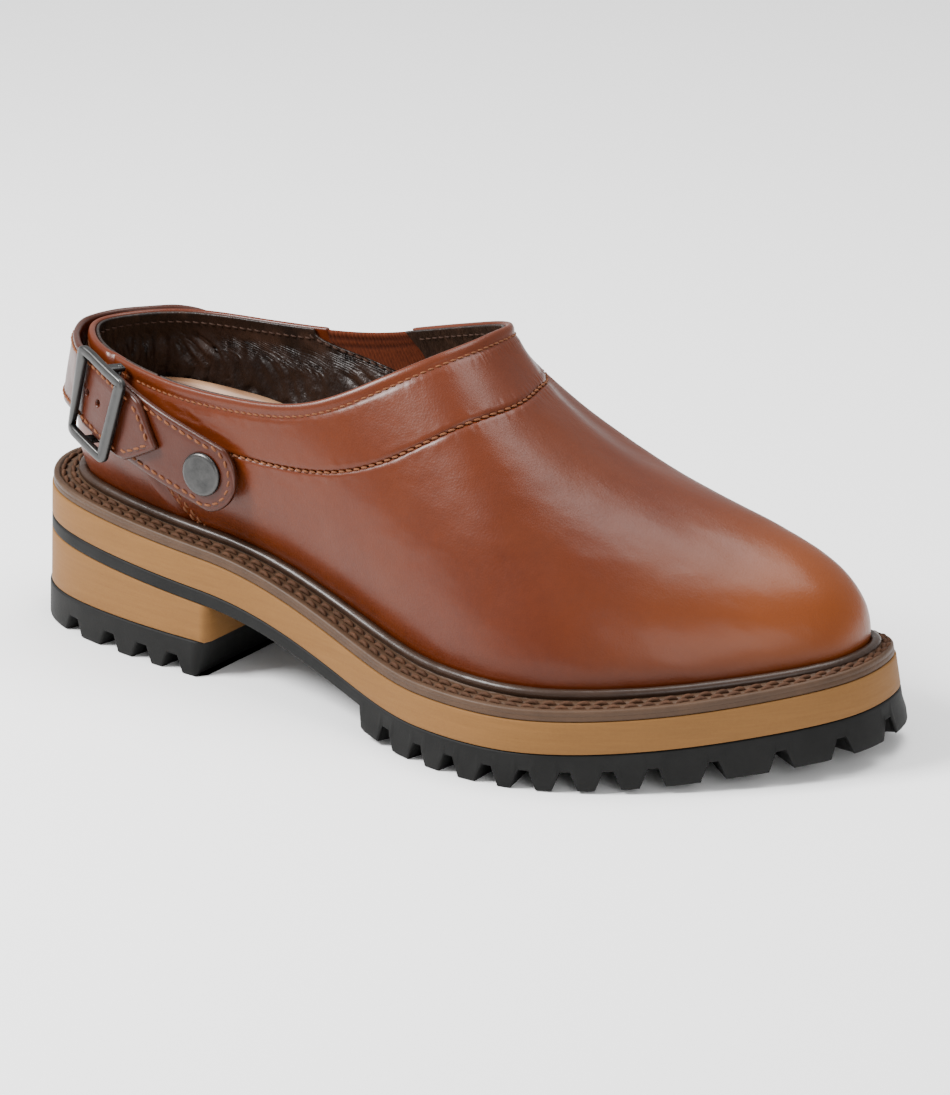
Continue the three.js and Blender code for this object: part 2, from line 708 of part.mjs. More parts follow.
// ---------------------------------------------------------------- strap
// Middle of the strap in plan, from ahead of the outer rivet, round the heel, to ahead of the inner rivet.
const STRAP_PLAN = [
  [93, -38.2],
  [81, -38.2],
  [62, -37.4],
  [50, -35.2],
  [39, -31.6],
  [29, -27.0],
  [20, -20.3],
  [13, -12.6],
  [7.7, 0],
  [10.6, 12.5],
  [16.6, 19.8],
  [26, 26.3],
  [32, 28.5],
  [45, 31],
  [62, 32.1],
  [81, 31.9],
  [93, 31.7],
];
const STRAIGHT = 47; // length of the even climb behind the rivet
const LEVELLING = 10; // length over which the climb dies out
const LEAN_START = 32; // where the strap starts to lean, from the heel's back
const LEAN_GROWTH = 20; // length over which the lean grows

function strapHeight(x) {
  const d = Math.min(RIVET_X - x, STRAIGHT + LEVELLING);
  return RIVET_Z + STRAP_RISE * (d - Math.max(0, d - STRAIGHT) ** 2 / (2 * LEVELLING));
}

function strapAcross(x) {
  const slope = (strapHeight(x + 0.1) - strapHeight(x - 0.1)) / 0.2;
  return unit([-slope, 0, 1]);
}

const strapCurve = new THREE.CatmullRomCurve3(
  STRAP_PLAN.map(([x, y]) => new THREE.Vector3(x, y, strapHeight(x))),
  false,
  "centripetal",
);
strapCurve.arcLengthDivisions = 600;
const STRAP_LENGTH = strapCurve.getLength();

// Point, direction across, and outward direction of the strap at a length along it.
function strapFrame(length) {
  const k = Math.min(1, Math.max(0, length / STRAP_LENGTH));
  const point = strapCurve.getPointAt(k).toArray();
  const along = strapCurve.getTangentAt(k).toArray();
  const upright = strapAcross(point[0]);
  const lean = STRAP_LEAN * smooth((LEAN_START - point[0]) / LEAN_GROWTH);
  const across = unit(shift(upright, unit(cross(upright, along)), -lean));
  return { point, across, along, out: unit(cross(across, along)) };
}

// Length along the strap at which its middle passes a given x, on the outer or the inner half.
function lengthAtX(x, inner = false) {
  let [near, far] = inner ? [STRAP_LENGTH, STRAP_LENGTH / 2] : [0, STRAP_LENGTH / 2];
  for (let i = 0; i < 40; i++) {
    const middle = (near + far) / 2;
    if (strapCurve.getPointAt(middle / STRAP_LENGTH).x > x) near = middle;
    else far = middle;
  }
  return (near + far) / 2;
}

const OUTER_RIVET = lengthAtX(RIVET_X);
const INNER_RIVET = lengthAtX(RIVET_X, true);
const BUCKLE_AT = lengthAtX(BUCKLE_X);

// A band that follows the strap: rows at the given lengths, each from one side offset to the other,
// solid between two distances from the strap's middle plane.
function band(lengths, sides, offsets, up = 2) {
  const rowsAt = (offset) =>
    lengths.map((length, i) => {
      const { point, across, out } = strapFrame(length);
      const [from, to] = sides[i];
      return range(up, (k) => shift(shift(point, across, lerp(from, to, k)), out, offset));
    });
  return solid(slab(rowsAt(offsets[0]), rowsAt(offsets[1])));
}

const evenly = (from, to, count) => range(count, (k) => lerp(from, to, k));

// Half width at a distance from a round end of the given radius, easing to the strap's own half width.
function roundEnd(distance, radius, halfWidth) {
  if (distance < radius) return Math.sqrt(Math.max(0.25, radius ** 2 - (radius - distance) ** 2));
  return lerp(radius, halfWidth, smooth((distance - radius) / 20));
}

const END_STEPS = [0, 0.4, 1.4, 3, 5, 8, 12, 17, 23, 30]; // rows of points from a round end
const symmetric = (half) => [-half, half];
const HALF_STRAP = STRAP / 2;
const HALF_STRAP_WIDTH = STRAP_WIDTH / 2;

// The turn that takes a rod's own axis, Y, to a direction.
function turnedTo(direction) {
  return new THREE.Quaternion().setFromUnitVectors(new THREE.Vector3(0, 1, 0), new THREE.Vector3(...direction));
}

// A rod along the buckle's bar.
function barRod(radius, half, sides = 12) {
  const { point, across, out } = strapFrame(BUCKLE_AT);
  const centre = shift(point, out, BAR_OFFSET);
  const geometry = new THREE.CylinderGeometry(radius, radius, 2 * half, sides);
  return solid(geometry.applyQuaternion(turnedTo(across)).translate(...centre));
}

function strapTab() {
  const from = OUTER_RIVET - END_REACH;
  const lengths = [...END_STEPS.map((d) => from + d), ...evenly(from + 35, BUCKLE_AT - 0.5, 4)];
  const sides = lengths.map((l) => symmetric(roundEnd(l - from, TAB_END, HALF_STRAP_WIDTH)));
  const tab = band(lengths, sides, TAB_LAYER);
  const loop = barRod(1.9, HALF_STRAP_WIDTH - 1, 14);
  return drilled(tab.add(loop).subtract(barRod(BAR_RADIUS + 0.3, 20, 14)));
}

function heelStrap() {
  const tip = BUCKLE_AT - BILLET_REACH;
  const end = INNER_RIVET + END_REACH;
  const steps = [...[0, 3, 6, 9, 13].map((d) => tip + d), ...evenly(tip + 18, end - 35, 26)];
  const lengths = [...steps, ...END_STEPS.map((d) => end - d).reverse()];
  const sides = lengths.map((l) => {
    const pointed = Math.min(HALF_STRAP_WIDTH, 0.7 + (l - tip) * 0.95);
    return symmetric(Math.min(pointed, roundEnd(end - l, TAB_END, HALF_STRAP_WIDTH)));
  });
  let strap = band(lengths, sides, [-HALF_STRAP, HALF_STRAP]);
  for (const reach of HOLE_REACHES) strap = strap.subtract(acrossRod(BUCKLE_AT + reach, 1.1));
  return drilled(strap);
}

// A rod through the strap at a length along it.
function acrossRod(length, radius) {
  const { point, out } = strapFrame(length);
  const geometry = new THREE.CylinderGeometry(radius, radius, 8, 8);
  return solid(geometry.applyQuaternion(turnedTo(out)).translate(...point));
}

function buckleFrame() {
  const start = BUCKLE_AT - BUCKLE_LENGTH / 2;
  const end = BUCKLE_AT + BUCKLE_LENGTH / 2;
  const piece = (from, to, low, high, layer, count = 8) => {
    const lengths = evenly(from, to, count);
    return band(lengths, lengths.map(() => [low, high]), layer);
  };
  const plate = piece(start, end, -BUCKLE_HALF, BUCKLE_HALF, BUCKLE_LAYER);
  const inner = BUCKLE_HALF - BUCKLE_BAR;
  const window = piece(start + BUCKLE_BAR, end - BUCKLE_BAR, -inner, inner, [0, 9]);
  let frame = plate.subtract(window);
  for (const side of [-1, 1]) {
    const edges = [side * inner, side * BUCKLE_HALF].sort((a, b) => a - b);
    frame = frame.add(piece(BUCKLE_AT - LUG_HALF, BUCKLE_AT + LUG_HALF, ...edges, LUG_LAYER, 2));
  }
  return frame.subtract(barRod(BAR_RADIUS + 0.02 + GAP, 20));
}

const buckleBar = () => barRod(BAR_RADIUS, BUCKLE_HALF - 0.1);

// A rivet through the strap and the wall: a domed cap outside and a post. side is -1 or +1 along Y.
function rivet(side, strapFaceY) {
  const capY = strapFaceY + side * (GAP + 0.6);
  const reach = Math.abs(capY - wallYAtRivet(side)) + BURR_DEPTH + BURR;
  const dome = [
    [0, 2.1],
    [2.4, 1.9],
    [4.6, 1.35],
    [6.2, 0.5],
    [CAP_RADIUS, 0],
    [CAP_RADIUS, -0.4],
    [POST_RADIUS, -0.4],
    [POST_RADIUS, -reach],
    [0, -reach],
  ];
  const profile = dome.map(([r, h]) => new THREE.Vector2(r, h)).reverse();
  const geometry = new THREE.LatheGeometry(profile, 18);
  if (side < 0) geometry.rotateX(Math.PI);
  return solid(geometry.translate(RIVET_X, capY, RIVET_Z));
}

const outerRivetFace = strapFrame(OUTER_RIVET).point[1] - TAB_LAYER[1];
const innerRivetFace = strapFrame(INNER_RIVET).point[1] + HALF_STRAP;

// The washer that the post is closed over, between the leather and the lining.
function burr(side) {
  const from = wallYAtRivet(side) - side * BURR_DEPTH;
  const disc = rodAlongY(BURR_RADIUS, RIVET_X, RIVET_Z, from, from - side * BURR, 14);
  return drilled(disc);
}

// Where the outer face of the upper stands at the rivet's axis.
function wallYAtRivet(side) {
  const stations = range(200, (k) => side * lerp(2.5, 4.5, k) * -1);
  const points = stations.map((t) => upperPoint(t, atHeight(t, RIVET_Z)));
  points.sort((a, b) => Math.abs(a[0] - RIVET_X) - Math.abs(b[0] - RIVET_X));
  return points[0][1];
}

// ---------------------------------------------------------------- materials and assembly
const finishes = {
  leather: { color: 0x7a3519, roughness: 0.38, metalness: 0 },
  lining: { color: 0x2e1c14, roughness: 0.6, metalness: 0 },
  stiffener: { color: 0xb79d78, roughness: 0.8, metalness: 0 },
  elastic: { color: 0x6f2c16, roughness: 0.85, metalness: 0 },
  cork: { color: 0xb98a5a, roughness: 0.85, metalness: 0 },
  cover: { color: 0xc09a6c, roughness: 0.7, metalness: 0 },
  board: { color: 0xa68b66, roughness: 0.85, metalness: 0 },
  stack: { color: 0xa9743c, roughness: 0.65, metalness: 0 },
  welt: { color: 0x4a2c1c, roughness: 0.5, metalness: 0 },
  rib: { color: 0x3b241a, roughness: 0.35, metalness: 0 },
  rubber: { color: 0x2b2b2c, roughness: 0.75, metalness: 0 },
  pewter: { color: 0x6c6d6c, roughness: 0.38, metalness: 1 },
  steel: { color: 0x9a9c9f, roughness: 0.35, metalness: 1 },
};

const clog = new THREE.Group();

function place(name, made, finish) {
  const mesh = new THREE.Mesh(geometryOf(made), new THREE.MeshStandardMaterial(finishes[finish]));
  mesh.name = name;
  clog.add(mesh);
}

place("heel_top_lift", heelTopLift(), "rubber");
place("heel_block", heelBlock(), "stack");
place("outsole", outsole(), "rubber");
place("midsole", midsole(), "stack");
place("welt", welt(), "welt");
place("welt_rib", weltRib(), "rib");
place("shank", shank(), "steel");
place("bottom_filler", bottomFiller(), "cork");
place("insole_board", insoleBoard(), "board");
NAIL_SPOTS.forEach(([x, y], i) => place(`heel_nail_${i + 1}`, heelNail(x, y), "steel"));
place("footbed", footbed(), "cork");
place("footbed_cover", footbedCover(), "cover");
place("vamp", vamp(), "leather");
place("collar_band", collarBand(), "leather");
place("heel_quarter", heelQuarter(), "leather");
place("elastic_gore", elasticGore(), "elastic");
place("vamp_lining", vampLining(), "lining");
place("quarter_lining", quarterLining(), "lining");
place("heel_counter", heelCounter(), "stiffener");
place("toe_puff", toePuff(), "stiffener");
place("strap_tab", strapTab(), "leather");
place("heel_strap", heelStrap(), "leather");
place("buckle_frame", buckleFrame(), "pewter");
place("buckle_bar", buckleBar(), "pewter");
place("rivet_outer", rivet(-1, outerRivetFace), "pewter");
place("rivet_inner", rivet(1, innerRivetFace), "pewter");
place("rivet_burr_outer", burr(-1), "steel");
place("rivet_burr_inner", burr(1), "steel");

// The origin is at the middle of the footprint, on the ground.
const box = new THREE.Box3().setFromObject(clog);
const middle = box.getCenter(new THREE.Vector3());
for (const mesh of clog.children) mesh.geometry.translate(-middle.x, -middle.y, -box.min.z);

export default clog;
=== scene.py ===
import math

import bmesh
import bpy
import numpy as np
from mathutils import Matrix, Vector


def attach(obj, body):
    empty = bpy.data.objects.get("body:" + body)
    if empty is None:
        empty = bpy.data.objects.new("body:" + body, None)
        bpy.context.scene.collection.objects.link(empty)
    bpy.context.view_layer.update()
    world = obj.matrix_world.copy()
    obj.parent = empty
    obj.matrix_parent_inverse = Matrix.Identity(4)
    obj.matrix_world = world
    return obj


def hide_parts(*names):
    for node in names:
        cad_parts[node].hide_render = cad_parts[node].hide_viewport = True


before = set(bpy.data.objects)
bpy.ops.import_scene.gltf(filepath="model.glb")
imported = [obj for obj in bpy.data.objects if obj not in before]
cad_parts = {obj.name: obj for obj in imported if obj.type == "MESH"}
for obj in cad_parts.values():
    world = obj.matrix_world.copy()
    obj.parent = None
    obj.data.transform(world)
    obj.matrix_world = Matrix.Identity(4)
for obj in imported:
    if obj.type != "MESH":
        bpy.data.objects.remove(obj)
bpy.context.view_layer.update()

# ------------------------------------------------------------------ dimensions, in millimetres
# The shoe's own frame has x = 0 at the heel's back. ORIGIN is where the shared frame's origin lies in it.
ORIGIN = np.array([141.6345, -2.6138, 0.0])
MIDSOLE, WELT, OUTSOLE, LUG = 9.8, 3.4, 4.4, 6.5
HEEL_LIFT, HEEL_LUG, HEEL_SEAT, HEEL_DROP = 11.4, 5.2, 33.7, 6.0
BREAST, BLOCK_FRONT, LIFT_FRONT = 80.0, 82.0, (77.7, 80.8)
BALL, BALL_START, BALL_END = 10.9, 172.0, 202.0
TOE_SPRING, TOE_END, SPRING_CURVE = 6.3, 280.0, 1.8
FLARE, TOE_LEAN = 0.03, 0.13
HEEL_GROOVES = (1.74, 2.32, 2.74, 3.1)
OUTER_GROOVES = (5.69, 6.08, 6.43, 6.8, 7.12, 7.45, 7.79, 8.16, 8.72, 9.39, 10.1, 11.04)
INNER_GROOVES = (12.1, 12.6, 13.0, 13.3, 13.6, 13.9, 14.2, 14.5, 14.8, 15.1)
TREAD_START = 148.0
SKIRT_S = -0.03
RIVET_X, RIVET_Z = 81.0, 65.2
STRAP_WIDTH, STRAP, STRAP_RISE, STRAIGHT, LEVELLING = 22.0, 2.2, 0.31, 47.0, 10.0
STRAP_LEAN, LEAN_START, LEAN_GROWTH = 0.18, 32.0, 20.0
TAB_END, END_REACH, BILLET_REACH, BUCKLE_X = 12.0, 10.0, 27.0, 39.5
BUCKLE_LENGTH, BUCKLE_HALF = 23.0, 14.6
HOLE_REACHES = (-6.0, 0.5, 7.0, 13.5)  # holes of the billet, from the buckle's bar
STITCH_INSET = 2.3
COVER_BASE, COVER = 15.7, 1.2

# edge (2), inset, swell (2), crown (3), top (3) at each station round the shoe
STATIONS = np.array([
    [0, 0, 12.5, 8, 14, 11, 0, 79, 13.5, 0, 92.5],
    [9.5, -19.5, 12.5, 8, 14, 17, -12.5, 79, 19, -10.5, 92.3],
    [32, -30.5, 12.5, 8.5, 14, 31, -24, 79, 33, -20.5, 91.3],
    [65, -36, 12.5, 9, 14, 60, -32, 77, 60, -29.1, 89.4],
    [100, -38.5, 12.5, 9, 14, 88, -34.4, 77, 86, -31.9, 89.2],
    [135, -45, 12.5, 8, 16, 122, -36, 80, 113, -32.4, 92.2],
    [170, -55.5, 12.8, 5, 20, 148, -32.5, 86, 134, -27, 101],
    [205, -57, 13, 4, 22, 170, -26, 90, 148, -17.5, 108.5],
    [237, -41, 12.8, 4, 24, 184, -16, 82, 154.5, -8, 111.7],
    [260, -20, 12, 4, 29, 189, -3, 73, 156.8, 0, 112.8],
    [277, 2, 10.8, 4, 34.5, 192, 8, 62.5, 157.3, 6.5, 113.1],
    [282, 22, 9.5, 5.2, 41.5, 190, 16, 57, 156.8, 13, 112.8],
    [274.5, 43, 9, 5.2, 42.5, 182, 23, 57.5, 153.2, 19, 111.6],
    [247, 52, 10.5, 5, 27.5, 174.5, 31, 73.5, 145, 24, 109],
    [207, 51, 12, 5, 25, 156, 34, 83, 131, 27.5, 104.8],
    [165, 42, 12.5, 7, 20, 128, 35, 84, 113, 30, 99.6],
    [115, 30, 12.5, 8, 16, 96, 34, 81, 92, 30.5, 94.9],
    [65, 33.5, 12.5, 9, 14, 62, 32, 78, 61, 29.3, 92.7],
    [24, 30, 12.5, 8.5, 14, 32, 28, 80, 33, 24.5, 92.7],
    [5.5, 17.5, 12.5, 8, 14, 15, 14.5, 80, 18, 12.5, 92.6],
], dtype=float)
TURN = len(STATIONS)
STRAP_PLAN = np.array([
    [93, -38.2], [81, -38.2], [62, -37.4], [50, -35.2], [39, -31.6], [29, -27.0],
    [20, -20.3], [13, -12.6], [7.7, 0], [10.6, 12.5], [16.6, 19.8], [26, 26.3],
    [32, 28.5], [45, 31], [62, 32.1], [81, 31.9], [93, 31.7],
], dtype=float)


# ------------------------------------------------------------------ small helpers
def lerp(a, b, k):
    return a + (b - a) * k


def smooth(k):
    c = np.clip(k, 0.0, 1.0)
    return c * c * (3 - 2 * c)


def bump_at(x, centre, half):
    """1 at the centre, easing to 0 at half on either side."""
    return 1 - smooth(np.abs(x - centre) / half)


def full_turn(count):
    return np.linspace(0, 2 * math.pi, count, endpoint=False)


def unit(v):
    return v / np.maximum(np.linalg.norm(v, axis=-1, keepdims=True), 1e-12)


def noise2(x, y, seed=0):
    """Smooth noise from -1 to 1 with cells of size 1."""
    rng = np.random.RandomState(seed)
    table = rng.rand(256) * 2 - 1
    order = rng.permutation(256)
    xi, yi = np.floor(x).astype(int), np.floor(y).astype(int)
    u, v = smooth(x - xi), smooth(y - yi)

    def corner(i, j):
        return table[order[(order[(xi + i) & 255] + yi + j) & 255]]

    low = lerp(corner(0, 0), corner(1, 0), u)
    high = lerp(corner(0, 1), corner(1, 1), u)
    return lerp(low, high, v)


def layered(x, y, seed, octaves=3):
    total, weight = 0.0, 1.0
    for i in range(octaves):
        total = total + weight * noise2(x * 2 ** i, y * 2 ** i, seed + i)
        weight *= 0.5
    return total


# ------------------------------------------------------------------ surfaces of the shoe
def spline_controls(points):
    control = points.copy()
    count = len(points)
    for _ in range(60):
        for i in range(count):
            control[i] = (6 * points[i] - control[(i - 1) % count] - control[(i + 1) % count]) / 4
    return control


CONTROL = spline_controls(STATIONS)


def station(t, columns):
    """Interpolated station values at t, an array of any shape."""
    t = np.asarray(t, dtype=float)
    start = np.floor(t).astype(int)
    f = (t - start)[..., None]
    weights = [
        (1 - f) ** 3 / 6,
        (3 * f ** 3 - 6 * f ** 2 + 4) / 6,
        (-3 * f ** 3 + 3 * f ** 2 + 3 * f + 1) / 6,
        f ** 3 / 6,
    ]
    picked = CONTROL[:, columns]
    return sum(w * picked[(start - 1 + j) % TURN] for j, w in enumerate(weights))


def edge(t):
    return station(t, slice(0, 2))


def inset_of(t):
    return station(t, slice(2, 3))[..., 0]


def outward(t):
    d = edge(np.asarray(t) + 0.01) - edge(np.asarray(t) - 0.01)
    return unit(np.stack([d[..., 1], -d[..., 0]], axis=-1))


def inside(t, inset):
    return edge(t) - outward(t) * np.asarray(inset)[..., None]


def sole_line(x):
    reach = BALL_START - BREAST
    k = np.clip((x - BREAST) / reach, 0, 1)
    slope = -HEEL_DROP / BREAST * reach
    waist = lerp(HEEL_SEAT - HEEL_DROP, BALL, k * k * (3 - 2 * k)) + slope * k * (1 - k) ** 2
    seat = HEEL_SEAT - HEEL_DROP * x / BREAST
    toe = BALL + TOE_SPRING * np.maximum(0, (x - BALL_END) / (TOE_END - BALL_END)) ** SPRING_CURVE
    return np.where(x < BREAST, seat, np.where(x < BALL_START, waist, toe))


def spread(t, z):
    toe = smooth((t - 8) / 2.5) * (1 - smooth((t - 12.3) / 1.8))
    return FLARE * (HEEL_SEAT - z) + TOE_LEAN * toe * (sole_line(edge(t)[..., 0]) - z)


def upper(t, s):
    """Outer face of the upper at station t and height s, 0 at the welt and 1 at the opening."""
    t, s = np.broadcast_arrays(np.asarray(t, float), np.asarray(s, float))
    foot = inside(t, inset_of(t))
    base_z = sole_line(foot[..., 0]) + MIDSOLE + WELT
    swell = station(t, slice(3, 5))
    out = foot + outward(t) * swell[..., :1]
    p0 = np.concatenate([foot, base_z[..., None]], axis=-1)
    p1 = np.concatenate([out, (base_z + swell[..., 1])[..., None]], axis=-1)
    p2, p3 = station(t, slice(5, 8)), station(t, slice(8, 11))
    k = np.maximum(s, 0)[..., None]
    r = 1 - k
    point = r ** 3 * p0 + 3 * r * r * k * p1 + 3 * r * k * k * p2 + k ** 3 * p3
    point[..., 2] += np.minimum(s, 0) * 100
    return point


def upper_normal(t, s):
    t, s = np.broadcast_arrays(np.asarray(t, float), np.asarray(s, float))
    at = np.clip(s, 0.005, 0.995)
    along = upper(t + 0.01, at) - upper(t - 0.01, at)
    up = upper(t, at + 0.005) - upper(t, at - 0.005)
    n = unit(np.cross(along, up))
    flat = n.copy()
    flat[..., 2] = 0
    return np.where((s < 0)[..., None], unit(flat), n)

# Tables over stations and heights: the length walked down from the opening, and s at each such length.
TABLE_T = np.linspace(0, TURN, 601)
TABLE_S = np.linspace(1, 0, 161)
LONGEST = 150
LENGTHS = np.linspace(0, LONGEST, 301)
WALKS = np.concatenate([
    np.zeros((len(TABLE_T), 1)),
    np.cumsum(np.linalg.norm(np.diff(upper(TABLE_T[:, None], TABLE_S[None, :]), axis=1), axis=-1), axis=1),
], axis=1)
S_BELOW = np.array([np.interp(LENGTHS, walk, TABLE_S) for walk in WALKS])


def looked_up(table, t, column):
    """A table's value at station t and at a column that needn't be whole."""
    row = np.mod(t, TURN) / TURN * (len(TABLE_T) - 1)
    i, j = np.minimum(row.astype(int), len(TABLE_T) - 2), column.astype(int)
    low = lerp(table[i, j], table[i + 1, j], row - i)
    high = lerp(table[i, j + 1], table[i + 1, j + 1], row - i)
    return lerp(low, high, column - j)


def below(t, length):
    """The s at a length down from the opening."""
    t, length = np.broadcast_arrays(np.asarray(t, float), np.asarray(length, float))
    return looked_up(S_BELOW, t, np.clip(length, 0, LONGEST - 0.1) / LONGEST * (len(LENGTHS) - 1))


def walked(t, s):
    """Length down from the opening at s."""
    t, s = np.broadcast_arrays(np.asarray(t, float), np.asarray(s, float))
    return looked_up(WALKS, t, np.clip(1 - s, 0, 0.9999) * (len(TABLE_S) - 1))


def at_height(t, z):
    t, z = np.broadcast_arrays(np.asarray(t, float), np.asarray(z, float))
    low, high = np.zeros(t.shape), np.ones(t.shape)
    for _ in range(22):
        middle = (low + high) / 2
        under = upper(t, middle)[..., 2] < z
        low, high = np.where(under, middle, low), np.where(under, high, middle)
    return low


def collar_height(t):
    u = np.mod(t, TURN)
    outer = lerp(18.0, 24.5, smooth((u - 3.6) / 2.6))
    front = lerp(outer, 21.0, smooth((u - 8) / 3))
    return lerp(front, 18.0, smooth((u - 12) / 3.5))


def outer_join(s):
    return lerp(3.1, 2.15, np.clip(s, 0, 1))


def gore_front(s):
    return lerp(15.76, 15.12, smooth((s - 0.15) / 0.85))


def gore_rear(s):
    return lerp(15.84, 16.4, smooth((s - 0.15) / 0.85))


def lining_front(s):
    return lerp(15.24, 16.55, smooth((s - 0.66) / 0.3))


# ------------------------------------------------------------------ meshes
class Shape:
    """Collects grids of points and makes one mesh of them."""

    def __init__(self):
        self.points, self.faces, self.tones, self.count = [], [], [], 0

    def grid(self, p, wrap_u=False, wrap_v=False, tone=None, flip=False):
        nu, nv = p.shape[:2]
        index = np.arange(nu * nv).reshape(nu, nv) + self.count
        a = index if wrap_u else index[:-1]
        b = np.roll(index, -1, axis=0) if wrap_u else index[1:]
        if wrap_v:
            quads = np.stack([a, b, np.roll(b, -1, axis=1), np.roll(a, -1, axis=1)], axis=-1)
        else:
            quads = np.stack([a[:, :-1], b[:, :-1], b[:, 1:], a[:, 1:]], axis=-1)
        quads = quads.reshape(-1, 4)
        self.faces.append(quads[:, ::-1] if flip else quads)
        self.points.append(p.reshape(-1, 3))
        self.tones.append(np.broadcast_to(0.0 if tone is None else tone, (nu, nv)).reshape(-1))
        self.count += nu * nv

    def make(self, name, material, body, slot, replaces=(), merge=True):
        points = (np.concatenate(self.points) - ORIGIN) * 0.001
        faces = np.concatenate(self.faces)
        mesh = bpy.data.meshes.new(name)
        mesh.from_pydata(points.tolist(), [], faces.tolist())
        layer = mesh.attributes.new("tone", "FLOAT", "POINT")
        layer.data.foreach_set("value", np.concatenate(self.tones).astype(np.float32))
        made = bmesh.new()
        made.from_mesh(mesh)
        if merge:
            bmesh.ops.remove_doubles(made, verts=made.verts, dist=2e-6)
            bmesh.ops.dissolve_degenerate(made, edges=made.edges, dist=1e-6)
        bmesh.ops.recalc_face_normals(made, faces=made.faces)
        made.to_mesh(mesh)
        made.free()
        mesh.polygons.foreach_set("use_smooth", [True] * len(mesh.polygons))
        mesh.update()
        mesh.materials.append(material)
        obj = bpy.data.objects.new(name, mesh)
        bpy.context.scene.collection.objects.link(obj)
        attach(obj, body)
        if replaces:
            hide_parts(*replaces)
        return obj


def near_edges(length, radius, step):
    """Distances from 0 to length, close together within a radius of both ends."""
    ends = radius * (1 - np.cos(np.linspace(0, math.pi / 2, 4)))
    middle = np.linspace(radius, length - radius, max(2, int(round((length - 2 * radius) / step)) + 1))
    return np.concatenate([ends[:-1], middle, length - ends[:-1][::-1]])


def roundness(distance, radius):
    """Share of the full thickness at a distance from an edge rounded to a radius."""
    d = np.clip(distance / radius, 0, 1)
    return np.sqrt(np.clip(1 - (1 - d) ** 2, 0, 1))


def total_length(points):
    return np.linalg.norm(np.diff(points, axis=0), axis=-1).sum()


def sheet(first, last, low, high, depths, relief, tone, step, radius, measured_at=0.3, relief_inside=False):
    """A sheet of the upper or the lining with rounded edges. first and last are stations as functions of s;
    low and high are values of s as functions of t; depths gives outer and inner depth at (t, s)."""
    t_middle = (first(0.5) + last(0.5)) / 2
    width = total_length(upper(np.linspace(first(0.5), last(0.5), 200), measured_at))
    height = total_length(upper(t_middle, np.linspace(float(low(t_middle)), float(high(t_middle)), 100)))
    a = (near_edges(width, radius, step) / width)[:, None]
    b = (near_edges(height, radius, step) / height)[None, :]
    s = np.full((a.shape[0], b.shape[1]), 0.5)
    for _ in range(8):
        t = lerp(first(s), last(s), a)
        s = lerp(low(t), high(t), b)
    share = roundness(np.minimum(a, 1 - a) * width, radius) * roundness(np.minimum(b, 1 - b) * height, radius)
    outer_depth, inner_depth = depths(t, s)
    middle, half = (outer_depth + inner_depth) / 2, (inner_depth - outer_depth) / 2
    raised = relief(t, s) * share
    on_outer, on_inner = (0.0, raised) if relief_inside else (raised, 0.0)
    point, normal = upper(t, s), upper_normal(t, s)
    made = Shape()
    made.grid(point - normal * (middle - half * share - on_outer)[..., None], tone=tone(t, s))
    made.grid(point - normal * (middle + half * share + on_inner)[..., None], tone=tone(t, s), flip=True)
    return made


def arc_length(points):
    return np.concatenate([[0], np.cumsum(np.linalg.norm(np.diff(points, axis=0), axis=-1))])


def tube(centres, sides, ups, girths, count):
    """Rings of points about a path, in the planes of its side and up vectors."""
    angle = full_turn(count)
    return (
        centres[:, None, :]
        + sides[:, None, :] * (np.cos(angle)[None, :] * girths[:, None])[..., None]
        + ups[:, None, :] * (np.sin(angle)[None, :] * girths[:, None])[..., None]
    )


def stitch_row(made, points, normals, pitch, radius, fill=0.84, slant=0.16, lift=0.0, arch=0.35, sides=6):
    """Adds a row of thread stitches along a path with its surface normals."""
    walk = arc_length(points)
    count = max(1, int(walk[-1] // pitch))
    pitch = walk[-1] / count
    starts = np.arange(count) * pitch + (1 - fill) * pitch / 2
    u = np.linspace(0, 1, 7)
    at = starts[:, None] + u[None, :] * fill * pitch

    def sample(values, shift=0.0):
        return np.stack([np.interp(at + shift, walk, values[:, k]) for k in range(3)], axis=-1)

    along = unit(sample(points, 0.05) - sample(points, -0.05))
    side = unit(np.cross(along, unit(sample(normals))))
    normal = unit(np.cross(side, along))
    wave = np.sin(math.pi * u)[None, :, None]
    centre = sample(points) + normal * (lift + radius * arch * (2 * wave - 1))
    centre = centre + side * (slant * fill * pitch * (u - 0.5))[None, :, None]
    girth = radius * np.clip(1 - np.abs(2 * u - 1) ** 5, 0, 1) ** 0.5
    for k in range(count):
        made.grid(tube(centre[k], side[k], normal[k], girth, sides), wrap_v=True, tone=(k * 0.37) % 1.0)


